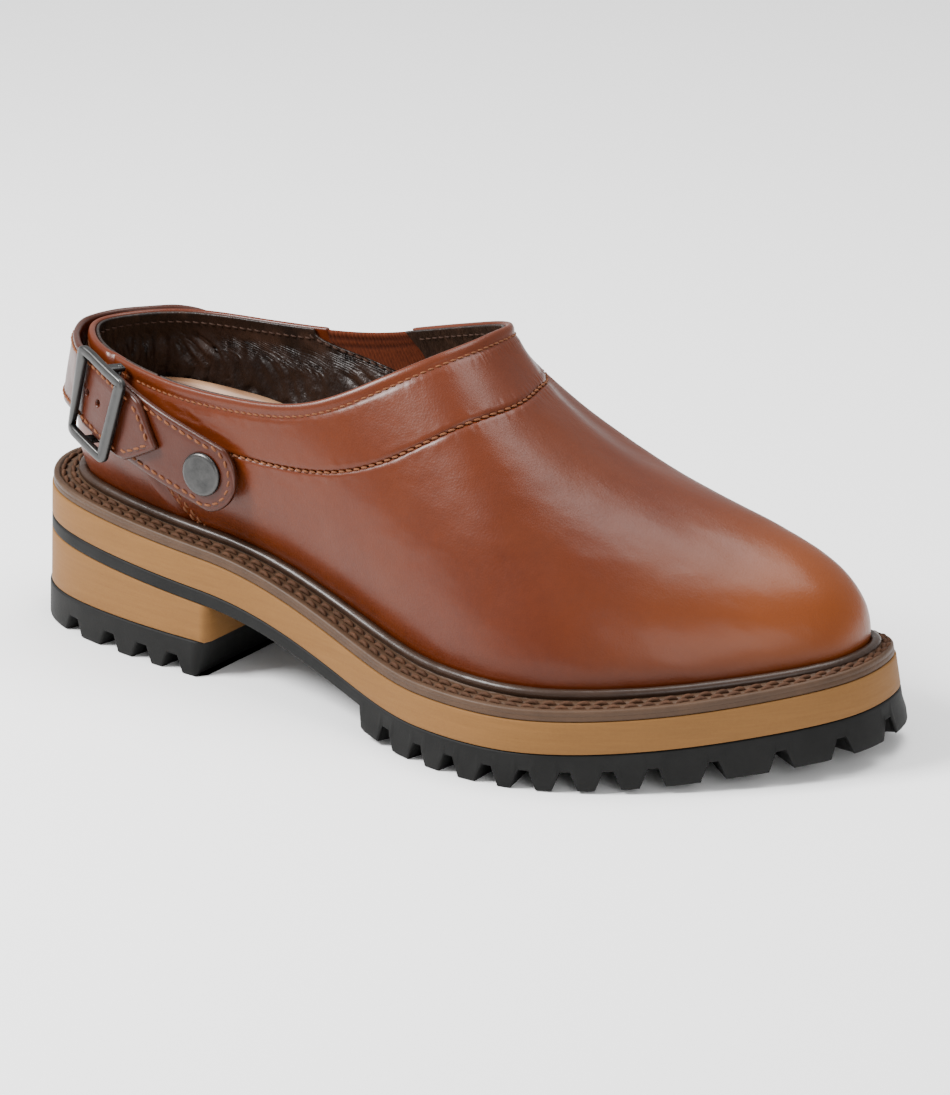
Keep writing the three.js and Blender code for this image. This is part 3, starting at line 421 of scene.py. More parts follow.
# ------------------------------------------------------------------ materials
class Surface:
    """A material, and the nodes that feed its shader."""

    def __init__(self, name):
        self.material = bpy.data.materials.new(name)
        self.material.use_nodes = True
        self.tree = self.material.node_tree
        self.shader = self.tree.nodes["Principled BSDF"]

    def node(self, kind, links, values, **settings):
        made = self.tree.nodes.new(kind)
        for key, value in settings.items():
            setattr(made, key, value)
        for key, value in values.items():
            made.inputs[key].default_value = value
        for key, socket in links.items():
            self.tree.links.new(socket, made.inputs[key])
        return made

    def place(self, stretch=(1, 1, 1)):
        where = self.node("ShaderNodeTexCoord", {}, {})
        mapped = self.node("ShaderNodeMapping", {"Vector": where.outputs["Object"]}, {"Scale": stretch})
        return mapped.outputs["Vector"]

    def noise(self, scale, detail, rough, stretch=(1, 1, 1)):
        values = {"Scale": scale, "Detail": detail, "Roughness": rough}
        return self.node("ShaderNodeTexNoise", {"Vector": self.place(stretch)}, values).outputs["Fac"]

    def pores(self, scale):
        made = self.node("ShaderNodeTexVoronoi", {"Vector": self.place()}, {"Scale": scale})
        return made.outputs["Distance"]

    def tone(self):
        """The tone that each mesh carries at its points."""
        return self.node("ShaderNodeAttribute", {}, {}, attribute_name="tone").outputs["Fac"]

    def scaled(self, value, low, high):
        limits = {"From Min": 0.0, "From Max": 1.0, "To Min": low, "To Max": high}
        return self.node("ShaderNodeMapRange", {"Value": value}, limits).outputs["Result"]

    def mix(self, factor, a, b, span=None):
        """Colour a to colour b by a factor, which is first scaled to the span if there is one."""
        made = self.node("ShaderNodeMix", {}, {}, data_type="RGBA")
        factor = self.scaled(factor, *span) if span else factor
        for index, value in ((0, factor), (6, a), (7, b)):
            if isinstance(value, tuple):
                made.inputs[index].default_value = (*value, 1)
            else:
                self.tree.links.new(value, made.inputs[index])
        return made.outputs[2]

    def ramp(self, factor, *stops):
        made = self.node("ShaderNodeValToRGB", {"Fac": factor}, {})
        for element, (position, colour) in zip(made.color_ramp.elements, stops):
            element.position = position
            element.color = (*colour, 1)
        return made.outputs["Color"]

    def finish(self, sockets, *heights):
        """Sets or links the shader's sockets, and chains bumps that are each (height, strength, distance)."""
        for name, value in sockets.items():
            if isinstance(value, (float, tuple)):
                self.shader.inputs[name].default_value = value
            else:
                self.tree.links.new(value, self.shader.inputs[name])
        links = {}
        for height, strength, distance in heights:
            values = {"Strength": strength, "Distance": distance}
            bump = self.node("ShaderNodeBump", {"Height": height, **links}, values)
            links = {"Normal": bump.outputs["Normal"]}
        for name, socket in links.items():
            self.tree.links.new(socket, self.shader.inputs[name])
        return self.material


def upper_leather(name, dark, base, light):
    made = Surface(name)
    mottled = made.mix(made.noise(26, 4, 0.6), dark, base, (0.1, 0.75))
    mottled = made.mix(made.noise(420, 4, 0.7), mottled, base, (0.0, 0.55))
    creases = made.noise(260, 5, 0.62, (1.0, 1.6, 0.7))
    sockets = {
        "Base Color": made.mix(made.tone(), mottled, light),
        "Roughness": made.scaled(made.noise(60, 4, 0.55), 0.30, 0.50),
        "Specular IOR Level": 0.16, "Coat Weight": 0.22, "Coat Roughness": 0.27,
    }
    return made.finish(sockets, (creases, 0.22, 0.0005), (made.pores(1500.0), 0.16, 0.0002))


def lining_leather(name, dark, base, light):
    made = Surface(name)
    colour = made.ramp(made.noise(45, 5, 0.65), (0.25, dark), (0.75, base))
    folds = made.noise(330, 4, 0.6, (1.0, 1.0, 0.35))
    sockets = {
        "Base Color": made.mix(made.tone(), colour, light), "Roughness": 0.44, "Specular IOR Level": 0.3,
    }
    return made.finish(sockets, (folds, 0.7, 0.0012), (made.pores(800.0), 0.25, 0.0002))


def board(name, dark, light, rough=0.62, grain=900):
    """Pressed board or wood: fine level streaks, cut smooth at the side."""
    made = Surface(name)
    streaks, specks = made.noise(grain, 4, 0.7, (0.05, 0.05, 1.0)), made.noise(1100, 2, 0.6)
    colour = made.mix(streaks, dark, light, (0.15, 0.85))
    colour = made.mix(made.noise(32, 4, 0.6), colour, dark, (0.0, 0.35))
    colour = made.mix(specks, colour, light, (0.0, 0.3))
    sockets = {"Base Color": colour, "Roughness": rough, "Specular IOR Level": 0.15}
    return made.finish(sockets, (streaks, 0.25, 0.0003), (specks, 0.2, 0.0002))


def waxed(name, dark, light, rough, coat=0.0):
    made = Surface(name)
    patches = made.noise(120, 5, 0.65)
    sockets = {
        "Base Color": made.mix(patches, dark, light, (0.0, 1.0)),
        "Roughness": made.scaled(patches, rough - 0.08, rough + 0.1),
        "Coat Weight": coat, "Coat Roughness": 0.2, "Specular IOR Level": 0.2,
    }
    return made.finish(sockets, (made.noise(900, 4, 0.6), 0.3, 0.0003))


def rubber(name, dark, light):
    made = Surface(name)
    colour = made.ramp(made.noise(70, 4, 0.6), (0.3, dark), (0.75, light))
    sockets = {"Base Color": colour, "Roughness": 0.62, "Specular IOR Level": 0.15}
    return made.finish(sockets, (made.noise(1600, 3, 0.6), 0.25, 0.0002))


def metal(name, dark, light, rough):
    made = Surface(name)
    patches = made.noise(330, 5, 0.7)
    colour = made.mix(patches, dark, light, (0.0, 1.0))
    sockets = {
        # The tone attribute paints highlights: along the buckle frame's bar edges and round the rivet caps'
        # rims.
        "Base Color": made.mix(made.tone(), colour, light), "Metallic": 1.0,
        "Roughness": made.scaled(patches, rough - 0.08, rough + 0.14),
    }
    return made.finish(sockets, (made.noise(1500, 3, 0.6), 0.18, 0.0002))


def thread(name, dark, light):
    made = Surface(name)
    fibres = made.noise(1500, 3, 0.6, (1, 1, 3))
    colour = made.mix(fibres, dark, light, (0.0, 1.0))
    sockets = {
        "Base Color": made.mix(made.tone(), colour, dark, (0.0, 0.35)), "Roughness": 0.75,
        "Specular IOR Level": 0.2,
    }
    return made.finish(sockets, (fibres, 0.5, 0.0003))


def webbing(name, dark, light, bands):
    made = Surface(name)
    fibres = made.noise(1800, 3, 0.6, (1, 1, 0.3))
    colour = made.mix(fibres, dark, light, (0.0, 1.0))
    # The third colour serves both the woven bands and the painted shade in the valleys between ribs.
    colour = made.mix(made.tone(), colour, bands)
    sockets = {"Base Color": colour, "Roughness": 0.8, "Specular IOR Level": 0.1}
    return made.finish(sockets, (fibres, 0.4, 0.0003))


def footbed_skin(name, dark, light, specked):
    made = Surface(name)
    rings = made.node(
        "ShaderNodeTexWave", {"Vector": made.place((0.35, 1.0, 1.0))},
        {"Scale": 60.0, "Distortion": 5.0, "Detail": 3.0, "Detail Scale": 1.2},
        wave_type="BANDS", bands_direction="Y",
    )
    specks = made.noise(500, 4, 0.7)
    colour = made.mix(rings.outputs["Fac"], dark, light, (0.0, 1.0))
    colour = made.mix(specks, colour, specked, (0.0, 0.35))
    return made.finish({"Base Color": colour, "Roughness": 0.55}, (specks, 0.25, 0.0002))


LEATHER = upper_leather(
    "burnished_leather", (0.030, 0.0042, 0.0006), (0.092, 0.0150, 0.0016), (0.145, 0.032, 0.0032)
)
STRAP_LEATHER = upper_leather(
    "strap_leather", (0.022, 0.0030, 0.0005), (0.058, 0.0092, 0.0010), (0.034, 0.0066, 0.0016)
)
LINING = lining_leather(
    "pigskin_lining", (0.0032, 0.0012, 0.0006), (0.0150, 0.0058, 0.0028), (0.034, 0.0155, 0.0090)
)
STACK = board("stacked_midsole", (0.100, 0.045, 0.0125), (0.215, 0.103, 0.031))
FIBRE = board("insole_fibre", (0.26, 0.18, 0.10), (0.42, 0.31, 0.19), 0.8, 500)
CORK = board("cork_filler", (0.24, 0.14, 0.07), (0.46, 0.30, 0.16), 0.85, 300)
STIFFENER = board("stiffener_board", (0.36, 0.28, 0.19), (0.50, 0.40, 0.28), 0.8, 700)
WELT_LEATHER = waxed("welt_leather", (0.028, 0.0145, 0.0078), (0.078, 0.042, 0.0230), 0.5)
BEAD_LEATHER = waxed("bead_leather", (0.014, 0.0066, 0.0036), (0.036, 0.0180, 0.0105), 0.36, 0.12)
RUBBER = rubber("tread_rubber", (0.0038, 0.0038, 0.0036), (0.0085, 0.0084, 0.0080))
PEWTER = metal("antique_pewter", (0.014, 0.0145, 0.0150), (0.082, 0.081, 0.079), 0.33)
STEEL = metal("plain_steel", (0.38, 0.38, 0.39), (0.55, 0.55, 0.56), 0.35)
WELT_THREAD = thread("welt_thread", (0.012, 0.0042, 0.0016), (0.105, 0.044, 0.0190))
FINE_THREAD = thread("fine_thread", (0.085, 0.027, 0.010), (0.205, 0.078, 0.033))
DARK_THREAD = thread("dark_thread", (0.016, 0.0062, 0.0036), (0.050, 0.023, 0.013))
ELASTIC = webbing("elastic_web", (0.034, 0.0065, 0.0025), (0.110, 0.024, 0.0075), (0.020, 0.0042, 0.0018))
COVER_SKIN = footbed_skin("footbed_cover", (0.22, 0.108, 0.050), (0.36, 0.200, 0.105), (0.15, 0.068, 0.036))


# ------------------------------------------------------------------ camera, light and floor
SCENE = bpy.context.scene


def added(name, data):
    made = bpy.data.objects.new(name, data)
    SCENE.collection.objects.link(made)
    return made


def to_frame(point):
    """A point of the shoe, in millimetres, as a point of the frame."""
    return Vector((np.array(point, float) - ORIGIN) * 0.001)


def aim(thing, place, target):
    thing.location = place
    thing.rotation_euler = (target - place).to_track_quat("-Z", "Y").to_euler()


camera_data = bpy.data.cameras.new("camera")
camera_data.sensor_width = 36.0
camera_data.lens = 182.0
camera_data.clip_start, camera_data.clip_end = 0.05, 50
SCENE.camera = added("camera", camera_data)
aim(SCENE.camera, to_frame((1026.2, -1280.3, 602.8)), to_frame((147.31, 9.93, 41.37)))

SHOE_MIDDLE = Vector((0, 0, 0.06))
for name, place, size, power in (
    ("key_softbox", (-0.62, -0.60, 0.90), (0.42, 0.42), 36),
    ("top_softbox", (0.15, 0.30, 1.2), (0.9, 0.6), 15),
    ("front_fill", (1.1, -0.7, 0.55), (0.7, 0.7), 7),
):
    data = bpy.data.lights.new(name, "AREA")
    data.shape, data.energy = "RECTANGLE", power
    data.size, data.size_y = size
    aim(added(name, data), Vector(place), SHOE_MIDDLE)

world = bpy.data.worlds.new("studio")
SCENE.world = world
world.use_nodes = True
world.node_tree.nodes["Background"].inputs["Color"].default_value = (1, 1, 1, 1)
world.node_tree.nodes["Background"].inputs["Strength"].default_value = 0.8

FLOOR_HALF = 6
floor_mesh = bpy.data.meshes.new("floor")
corners = [(FLOOR_HALF * x, FLOOR_HALF * y, 0) for x, y in ((-1, -1), (1, -1), (1, 1), (-1, 1))]
floor_mesh.from_pydata(corners, [], [(0, 1, 2, 3)])
pale = {"Base Color": (0.9, 0.9, 0.9, 1), "Roughness": 0.9, "Specular IOR Level": 0.1}
floor_mesh.materials.append(Surface("pale_floor").finish(pale))
floor = added("floor", floor_mesh)


# ------------------------------------------------------------------ sole
OUTLINE = edge(np.linspace(0, TURN, 2001))


def middle_y(x):
    """Middle of the sole's outline at x."""
    outer, inner = OUTLINE[:1001], OUTLINE[1001:][::-1]
    return (np.interp(x, outer[:, 0], outer[:, 1]) + np.interp(x, inner[:, 0], inner[:, 1])) / 2


def spine(x, low, high):
    """Points of the sole's middle line, beside each x."""
    held = np.clip(x, low, high)
    return np.stack([held, middle_y(held)], axis=-1)


def lifted(plan, z):
    """Points of a plan at heights z."""
    return np.concatenate([plan, z[..., None]], axis=-1)


def shell(rows, wrap_v=False):
    made = Shape()
    made.grid(np.stack(rows, axis=1), wrap_u=True, wrap_v=wrap_v)
    return made


def wall_levels(bottom, top, radius, shares):
    """(height, distance in from the edge) up a wall whose two edges are rounded."""
    turn = [(radius * (1 - math.sin(a)), radius * (1 - math.cos(a))) for a in np.linspace(0, math.pi / 2, 4)]
    levels = [(bottom + rise, d) for rise, d in turn[::-1]]
    levels += [(lerp(bottom, top, k), 0.0) for k in shares]
    return levels + [(top - rise, d) for rise, d in turn]


def slab(t, low, high, radius, ring, lower_rows=(8.0, 18.0)):
    """A closed layer on the sole's outline. low and high give heights at (t, x, distance in from the edge),
    and ring gives the plan at (t, height, distance in)."""
    zero = 0 * t
    heart_line = spine(ring(t, 20.0 + zero, zero)[..., 0], 28, 245)
    rows = []

    def flat(height, depths):
        for d in depths:
            x = ring(t, 20.0 + zero, d + zero)[..., 0]
            plan = ring(t, height(t, x, d), d + zero)
            rows.append(lifted(plan, height(t, plan[..., 0], d)))

    def heart(height):
        start = ring(t, 20.0 + zero, lower_rows[-1] + zero)
        for share in (0.0, 0.5):
            plan = lerp(heart_line, start, share)
            rows.append(lifted(plan, height(t, plan[..., 0], 40.0)))

    heart(low)
    flat(low, [*sorted(lower_rows, reverse=True), 2.0, radius])
    bottom, top = low(t, edge(t)[..., 0], 0.0), high(t, edge(t)[..., 0], 0.0)
    for z, d in wall_levels(bottom, top, radius, (0.33, 0.67)):
        rows.append(lifted(ring(t, z, d + zero), z))
    flat(high, [2.0, 8.0, 18.0])
    heart(high)
    return shell(rows)


def pace(t):
    """Millimetres of the sole's edge for one station."""
    return np.linalg.norm(edge(t + 0.005) - edge(t - 0.005), axis=-1) / 0.01


def tooth(t, grooves, width):
    """1 in the floor of a groove, 0 between grooves, with slanting flanks."""
    speed = pace(t)
    total = np.zeros(t.shape)
    for centre in grooves:
        distance = np.abs(t - centre) * speed
        total = np.maximum(total, np.clip((width / 2 + 1.6 - distance) / 2.2, 0, 1))
    return total


def groove_columns(grooves, width, around):
    """Stations round the sole with extra ones at the flanks of each groove."""
    extra = []
    for centre in grooves:
        for past in (1.7, 1.6, 1.3, 0.1, -0.6, -0.8):
            offset = (width / 2 + past) / float(pace(centre))
            extra += [centre - offset, centre + offset]
    return np.unique(np.round(np.concatenate([around, extra]), 5))


def groove_depth(t, d, grooves, width, length):
    return tooth(t, grooves, width) * (1 - smooth((d - length + 1.5) / 2.5))


ROUND = np.linspace(0, TURN, 420, endpoint=False)
TREAD_FRONTS = [5.30, 5.34, 5.38, 5.42, 15.36, 15.4, 15.44]  # stations where the lugs begin
FOREPART = OUTER_GROOVES + INNER_GROOVES
GROOVE, GROOVE_REACH, GROOVE_FLOOR = 4.2, 17.0, 0.8
HEEL_GROOVE, HEEL_GROOVE_REACH = 5.4, 14.0


def outsole_low(t, x, d):
    """The strip under the midsole, with the forefoot's lugs hanging below it."""
    tread = smooth((x - TREAD_START + 1.5) / 2.2)
    cut = groove_depth(t, d, FOREPART, GROOVE, GROOVE_REACH) * (LUG - GROOVE_FLOOR) / LUG
    return sole_line(x) - OUTSOLE - LUG * tread * (1 - cut)


def outsole_ring(t, z, d):
    lugs = np.clip((sole_line(edge(t)[..., 0]) - OUTSOLE - z) / 0.8, 0, 1)
    return inside(t, d - 0.6 * lugs - spread(t, z))


def above_sole_line(rise):
    return lambda t, x, d: sole_line(x) + rise


slab(
    groove_columns(FOREPART, GROOVE, np.concatenate([ROUND, TREAD_FRONTS])), outsole_low,
    above_sole_line(-0.1), 0.7, outsole_ring, (4.0, 9.0, 14.0, 15.6, 17.2, 18.6),
).make("rubber_outsole", RUBBER, "shoe", "rubber", ["outsole"])
slab(
    ROUND, above_sole_line(0.05), above_sole_line(MIDSOLE - 0.05), 0.45,
    lambda t, z, d: inside(t, d - spread(t, z)),
).make("tan_midsole", STACK, "shoe", "stacked_midsole", ["midsole"])

BREAST_STEPS = 24


def heel_slab(low, high, front_at, grooves, inset, radius):
    """A closed layer of the heel, with a flat breast. low and high give heights at x, and front_at gives the
    breast's x at a height."""
    stations = np.linspace(0, TURN, 4001)
    behind = edge(stations)[..., 0] < front_at((low(0.0) + high(0.0)) / 2)
    outer = stations[(stations < 6) & behind].max()
    inner = stations[(stations > 14) & behind].min() - TURN
    around = np.linspace(inner + 0.03, outer - 0.03, 110)
    both = [*grooves, *(-centre for centre in grooves)]
    if grooves:
        around = groove_columns(both, HEEL_GROOVE, around)
        around = around[(around > inner) & (around < outer)]
    count = len(around)
    stations = np.concatenate([around, np.full(BREAST_STEPS, 99.0)])

    def column(z, d):
        """The closed outline at height z and distance d in from the edge."""
        side = inside(around, inset + d - spread(around, z))
        front = front_at(float(np.mean(z))) - d
        side[:, 0] = np.minimum(side[:, 0], front)
        share = np.linspace(0, 1, BREAST_STEPS + 2)[1:-1, None]
        breast = np.concatenate([np.full_like(share, front), lerp(side[-1, 1], side[0, 1], share)], axis=1)
        return np.concatenate([side, breast])

    def base(x, d):
        return low(x) + HEEL_LUG * groove_depth(stations, d, both, HEEL_GROOVE, HEEL_GROOVE_REACH)

    under, over = np.full(count, 12.0), np.full(count, 25.0)
    core = column(under, 18.0)
    centre = spine(core[:, 0], 24, 58)
    rows = [lifted(plan, base(plan[:, 0], 40.0)) for plan in (centre, lerp(centre, core, 0.6))]
    for d in (18.0, 15.0, 13.0, 11.5, 6.0, 2.0, radius):
        plan = column(under, d)
        rows.append(lifted(plan, base(plan[:, 0], d)))
    outline = column(under, 0.0)[:, 0]
    for z, d in wall_levels(base(outline, 0.0), high(outline), radius, (0.25, 0.5, 0.75)):
        plan = column(z[:count], d)
        plan[count:, 0] = [front_at(float(v)) - d for v in z[count:]]
        rows.append(lifted(plan, z))
    for plan in (*(column(over, d) for d in (2.0, 8.0, 18.0)), lerp(centre, core, 0.6), centre):
        rows.append(lifted(plan, high(plan[:, 0])))
    return shell(rows)


heel_slab(
    lambda x: 0 * x, lambda x: HEEL_LIFT - 0.1 + 0 * x,
    lambda z: lerp(*LIFT_FRONT, min(max(z / HEEL_LIFT, 0), 1)), HEEL_GROOVES, -0.4, 0.7,
).make("lugged_heel_lift", RUBBER, "shoe", "rubber", ["heel_top_lift"])
heel_slab(
    lambda x: HEEL_LIFT + 0 * x, lambda x: sole_line(x) - OUTSOLE - 0.1, lambda z: BLOCK_FRONT, (), 0.0, 0.35,
).make("tan_heel_block", STACK, "shoe", "stacked_midsole", ["heel_block"])

# ------------------------------------------------------------------ welt, its stitching and its bead
BEAD = 1.7
WELT_INSET = 0.4
OUTER_ROW, INNER_ROW = 0.40, 0.78  # shares of the welt's free width
UP = np.array([0, 0, 1.0])


def welt_top(t):
    return sole_line(edge(t)[..., 0]) + MIDSOLE + WELT


def welt_width(t):
    """Free width of the welt's top, from its edge to the bead."""
    return inset_of(t) - WELT_INSET + spread(t, welt_top(t)) - 2 * BEAD - 0.5


def welt_ring(t, z, d):
    return lifted(inside(t, WELT_INSET + d - spread(t, z)), z)


def welt_height(t, d):
    """Height of the welt's top above its full thickness, at a distance in from its edge."""
    share = d / welt_width(t)
    channel = smooth((share - 0.2) / 0.08) * (1 - smooth((share - 1.02) / 0.1))
    rows = bump_at(share, OUTER_ROW, 0.16) + bump_at(share, INNER_ROW, 0.16)
    return -0.55 * channel - 0.3 * rows


def welt_piece():
    t = np.linspace(0, TURN, 900, endpoint=False)
    low, high = sole_line(edge(t)[..., 0]) + MIDSOLE + 0.05, welt_top(t)
    width, zero = welt_width(t), 0 * t
    levels = [(low, width + 2 * BEAD + 1.5), (low, 0.4 + zero)]
    for a in np.linspace(math.pi / 2, 0, 4):
        levels.append((low + 0.45 * (1 - math.sin(a)), 0.45 * (1 - math.cos(a)) + zero))
    levels += [(lerp(low, high, share), d + zero) for share, d in ((0.45, 0), (0.5, 0.12), (0.55, 0))]
    for a in np.linspace(0, math.pi / 2, 5):
        levels.append((high - 0.8 * (1 - math.sin(a)), 0.8 * (1 - math.cos(a)) + zero))
    for share in np.linspace(0.12, 1.15, 34):
        d = np.maximum(share * width, 0.85)
        rough = 0.10 * layered(t * 22, share * 9 + zero, 5)
        levels.append((high + welt_height(t, d) + rough * smooth((share - 0.15) / 0.1), d))
    levels.append((high - 0.6, width + 2 * BEAD + 1.5))
    return shell([welt_ring(t, z, d) for z, d in levels], wrap_v=True)


def welt_stitches():
    made = Shape()
    t = np.linspace(0, TURN, 1600)
    z = welt_top(t)
    for share, slant in ((OUTER_ROW, 0.10), (INNER_ROW, -0.10)):
        d = share * welt_width(t)
        points = lifted(inside(t, WELT_INSET + d - spread(t, z)), z + welt_height(t, d))
        normals = np.broadcast_to(UP, points.shape)
        stitch_row(made, points, normals, 5.0, 0.74, fill=0.92, slant=slant, lift=0.30, arch=0.5, sides=8)
    return made


def bead():
    """The raised bead against the foot of the upper."""
    t = np.linspace(0, TURN, 900, endpoint=False)
    s = at_height(t, upper(t, 0)[..., 2] + BEAD * 0.62)
    level = upper_normal(t, s)
    level[..., 2] = 0
    level = unit(level)
    centre = upper(t, s) + level * (BEAD + 0.1)
    girth = BEAD * (1 + 0.03 * noise2(t * 9, 0 * t, 3))
    made = Shape()
    made.grid(tube(centre, level, np.broadcast_to(UP, level.shape), girth, 14), wrap_u=True, wrap_v=True)
    return made


welt_piece().make("stitched_welt", WELT_LEATHER, "shoe", "welt_leather", ["welt"])
welt_stitches().make("welt_stitching", WELT_THREAD, "shoe", "welt_leather", merge=False)
bead().make("welt_bead", BEAD_LEATHER, "shoe", "rib_leather", ["welt_rib"])

# ------------------------------------------------------------------ upper
FOLD = 4.2  # width of the folded edge, down to its stitches


def burnish(t, s):
    """Lighter, orange leather over the toe, fading back along the vamp."""
    p = upper(t, s)
    toe = smooth((p[..., 0] - 205) / 75)
    low = smooth((p[..., 2] - 26) / 10)
    return 0.85 * toe * low + 0.10 * layered(p[..., 0] / 28, p[..., 1] / 22, 11) + 0.06


def plain_depths(outer, inner):
    return lambda t, s: (outer + 0 * s, inner + 0 * s)


def topline_relief(t, s):
    d = walked(t, s)
    fold = 0.32 * bump_at(d, 1.9, 2.6)
    stitched = -0.42 * bump_at(d, FOLD, 1.5)
    around = t * 11
    pucker = 0.10 * bump_at(d, FOLD + 2.4, 3.0) * noise2(around * 1.4, d / 2, 21)
    return fold + stitched + pucker


def soft_relief(t, s):
    """Gentle waves of the leather between the last's points."""
    p = upper(t, s)
    return 0.16 * layered(p[..., 0] / 19, p[..., 1] / 15 + p[..., 2] / 13, 31)


def seam_relief(t, s):
    """The row of stitches that marks off the collar."""
    d = walked(t, s) - collar_height(t)
    pucker = 0.12 * bump_at(np.abs(d), 2.2, 2.4) * noise2(t * 13, d / 2.5, 41)
    return -0.42 * bump_at(d, 0, 1.2) + pucker


def vamp_relief(t, s):
    creases = 0.20 * bump_at(t, 3.9, 1.4) * smooth((s - 0.35) / 0.3)
    return seam_relief(t, s) + soft_relief(t, s) + creases * layered(t * 5 + s * 9, s * 16 - t * 2, 51)


def collar_relief(t, s):
    d = walked(t, s)
    flank = 0.36 * bump_at(t, 3.2, 1.3) * smooth((d - FOLD) / 4)
    streaks = layered(t * 2.6 + d / 11, d / 1.9 - t * 3.4, 61)
    return topline_relief(t, s) + seam_relief(t, s) + 0.5 * soft_relief(t, s) + flank * streaks


def skirt_s(t):
    return SKIRT_S + 0 * t


def rim_s(t):
    return 0.997 + 0 * t


def seam_s(gap):
    """The collar's seam, moved down by a gap."""
    return lambda t: below(t, collar_height(t) + gap)


def vamp_from(s):
    return outer_join(s) + 0.02


def vamp_to(s):
    return gore_front(s) - 0.02


def quarter_relief(t, s):
    return topline_relief(t, s) + soft_relief(t, s)


def quarter_depths(t, s):
    """The quarter's front edge lies under the vamp's."""
    tucked = smooth((t - outer_join(s) + 0.16) / 0.14)
    return 1.7 * tucked, 1.7 + 1.1 * tucked


def quarter_tone(t, s):
    return 0.03 + 0.08 * layered(t * 2, s * 3, 71)


sheet(
    vamp_from, vamp_to, skirt_s, seam_s(0.1), plain_depths(0.0, 1.6), vamp_relief, burnish, 1.15, 0.8
).make("vamp_leather", LEATHER, "shoe", "upper_leather", ["vamp"])
sheet(
    vamp_from, vamp_to, seam_s(-0.1), rim_s, plain_depths(-0.05, 1.75), collar_relief, burnish, 1.0, 0.9
).make("collar_leather", LEATHER, "shoe", "upper_leather", ["collar_band"])
sheet(
    lambda s: gore_rear(s) - TURN + 0.02, lambda s: outer_join(s) + 0.16, skirt_s, rim_s, quarter_depths,
    quarter_relief, quarter_tone, 1.1, 0.85,
).make("heel_quarter_leather", LEATHER, "shoe", "upper_leather", ["heel_quarter"])


# ------------------------------------------------------------------ linings
def lining_depths(t, s):
    outer = lerp(1.85, 2.9, smooth((walked(t, s) - 6) / 10))
    return outer, outer + 1.0


def lining_wrinkles(amount):
    def relief(t, s):
        d = walked(t, s)
        around = t * 33
        bend = 2.6 * layered(around / 22, d / 20, 81)
        ridges = 1 - np.abs(noise2(around / 2.3 + d / 11 + bend, d / 17, 91))
        small = layered(around / 1.6 + bend, d / 7, 97)
        return -(amount * smooth((d - 5.0) / 5) * (1.0 * ridges ** 3 + 0.3 * small))

    return relief


def lighter_towards_opening(t, s):
    # Lighter in random patches, more so towards the opening.
    return 0.6 * smooth(layered(t * 6, s * 7, 101)) * smooth((s - 0.5) / 0.4)


for node, first, last, wrinkles, step in (
    ("vamp_lining", lambda s: 2.9 + 0 * s, lambda s: 15.2 + 0 * s, 0.35, 1.6),
    ("quarter_lining", lambda s: lining_front(s) - TURN, lambda s: 2.86 + 0 * s, 0.95, 0.75),
):
    sheet(
        first, last, skirt_s, rim_s, lining_depths, lining_wrinkles(wrinkles), lighter_towards_opening, step, 0.5, 0.6, True
    ).make(node + "_skin", LINING, "shoe", "lining_leather", [node])


# ------------------------------------------------------------------ elastic gore
def gore():
    a = np.linspace(0, 1, 120)[:, None]
    b = np.linspace(0, 1, 70)[None, :]
    s = lerp(0.02, 0.985, b) + 0 * a
    t = lerp(gore_front(s) - 0.02, gore_rear(s) + 0.02, a)
    d = walked(t, s)
    rib = np.sin(a * 26 * 2 * math.pi)
    share = roundness(np.minimum(b, 1 - b) * 30, 1.2)
    bands = bump_at(d, 3.0, 1.2) + bump_at(d, 5.6, 1.2)
    half = (0.6 + 0.22 * rib - 0.2 * bands) * share
    # The tone darkens the woven bands, and paints shade into the valleys between the ribs (rib < -0.5).
    tone = np.clip(0.55 * bands + 0.25 * (rib < -0.5), 0, 1) + 0 * s
    point, normal = upper(t, s), upper_normal(t, s)
    made = Shape()
    made.grid(point - normal * (1.1 - half)[..., None], tone=tone)
    made.grid(point - normal * (1.1 + half)[..., None], tone=tone, flip=True)
    return made


gore().make("ribbed_gore", ELASTIC, "shoe", "elastic_web", ["elastic_gore"])


# ------------------------------------------------------------------ stitches of the upper
def outside_row(made, t, s, depth, pitch, radius):
    normal = upper_normal(t, s)
    stitch_row(made, upper(t, s) - normal * depth, normal, pitch, radius)


def upper_stitches():
    made = Shape()
    for start, end, length, depth, pitch, radius in (
        (2.75, 15.0, collar_height, 0.2, 2.7, 0.36),
        (2.62, 15.05, lambda t: FOLD, 0.22, 2.4, 0.30),
        (gore_rear(0.97) - TURN + 0.12, 2.52, lambda t: FOLD, 0.22, 2.4, 0.30),
    ):
        t = np.linspace(start, end, int(60 * abs(end - start)) + 2)
        outside_row(made, t, below(t, length(t)), depth, pitch, radius)
    s = np.linspace(0.02, 0.93, 90)
    for shift in (0.075, 0.15):
        outside_row(made, outer_join(s) + shift, s, 0.02, 3.0, 0.4)
    s = np.linspace(0.40, 0.965, 60)
    outside_row(made, gore_front(s) - 0.08, s, 0.05, 2.7, 0.36)
    outside_row(made, gore_rear(s) + 0.08, s, 0.05, 2.7, 0.36)
    return made


def lining_stitches():
    made = Shape()

    def row(t, s, depth, pitch, radius):
        normal = upper_normal(t, s)
        points = upper(t, s) - normal * (lining_depths(t, s)[1] + depth)[..., None]
        stitch_row(made, points, -normal, pitch, radius)

    for start, end, count in ((lining_front(0.97) - TURN + 0.05, 2.8, 500), (3.0, 15.05, 900)):
        t = np.linspace(start, end, count)
        row(t, below(t, 3.6), 0.05, 2.6, 0.34)
    s = np.linspace(0.64, 0.955, 90)
    row(lining_front(s) - TURN + 0.07, s, 0.02, 2.8, 0.4)
    return made


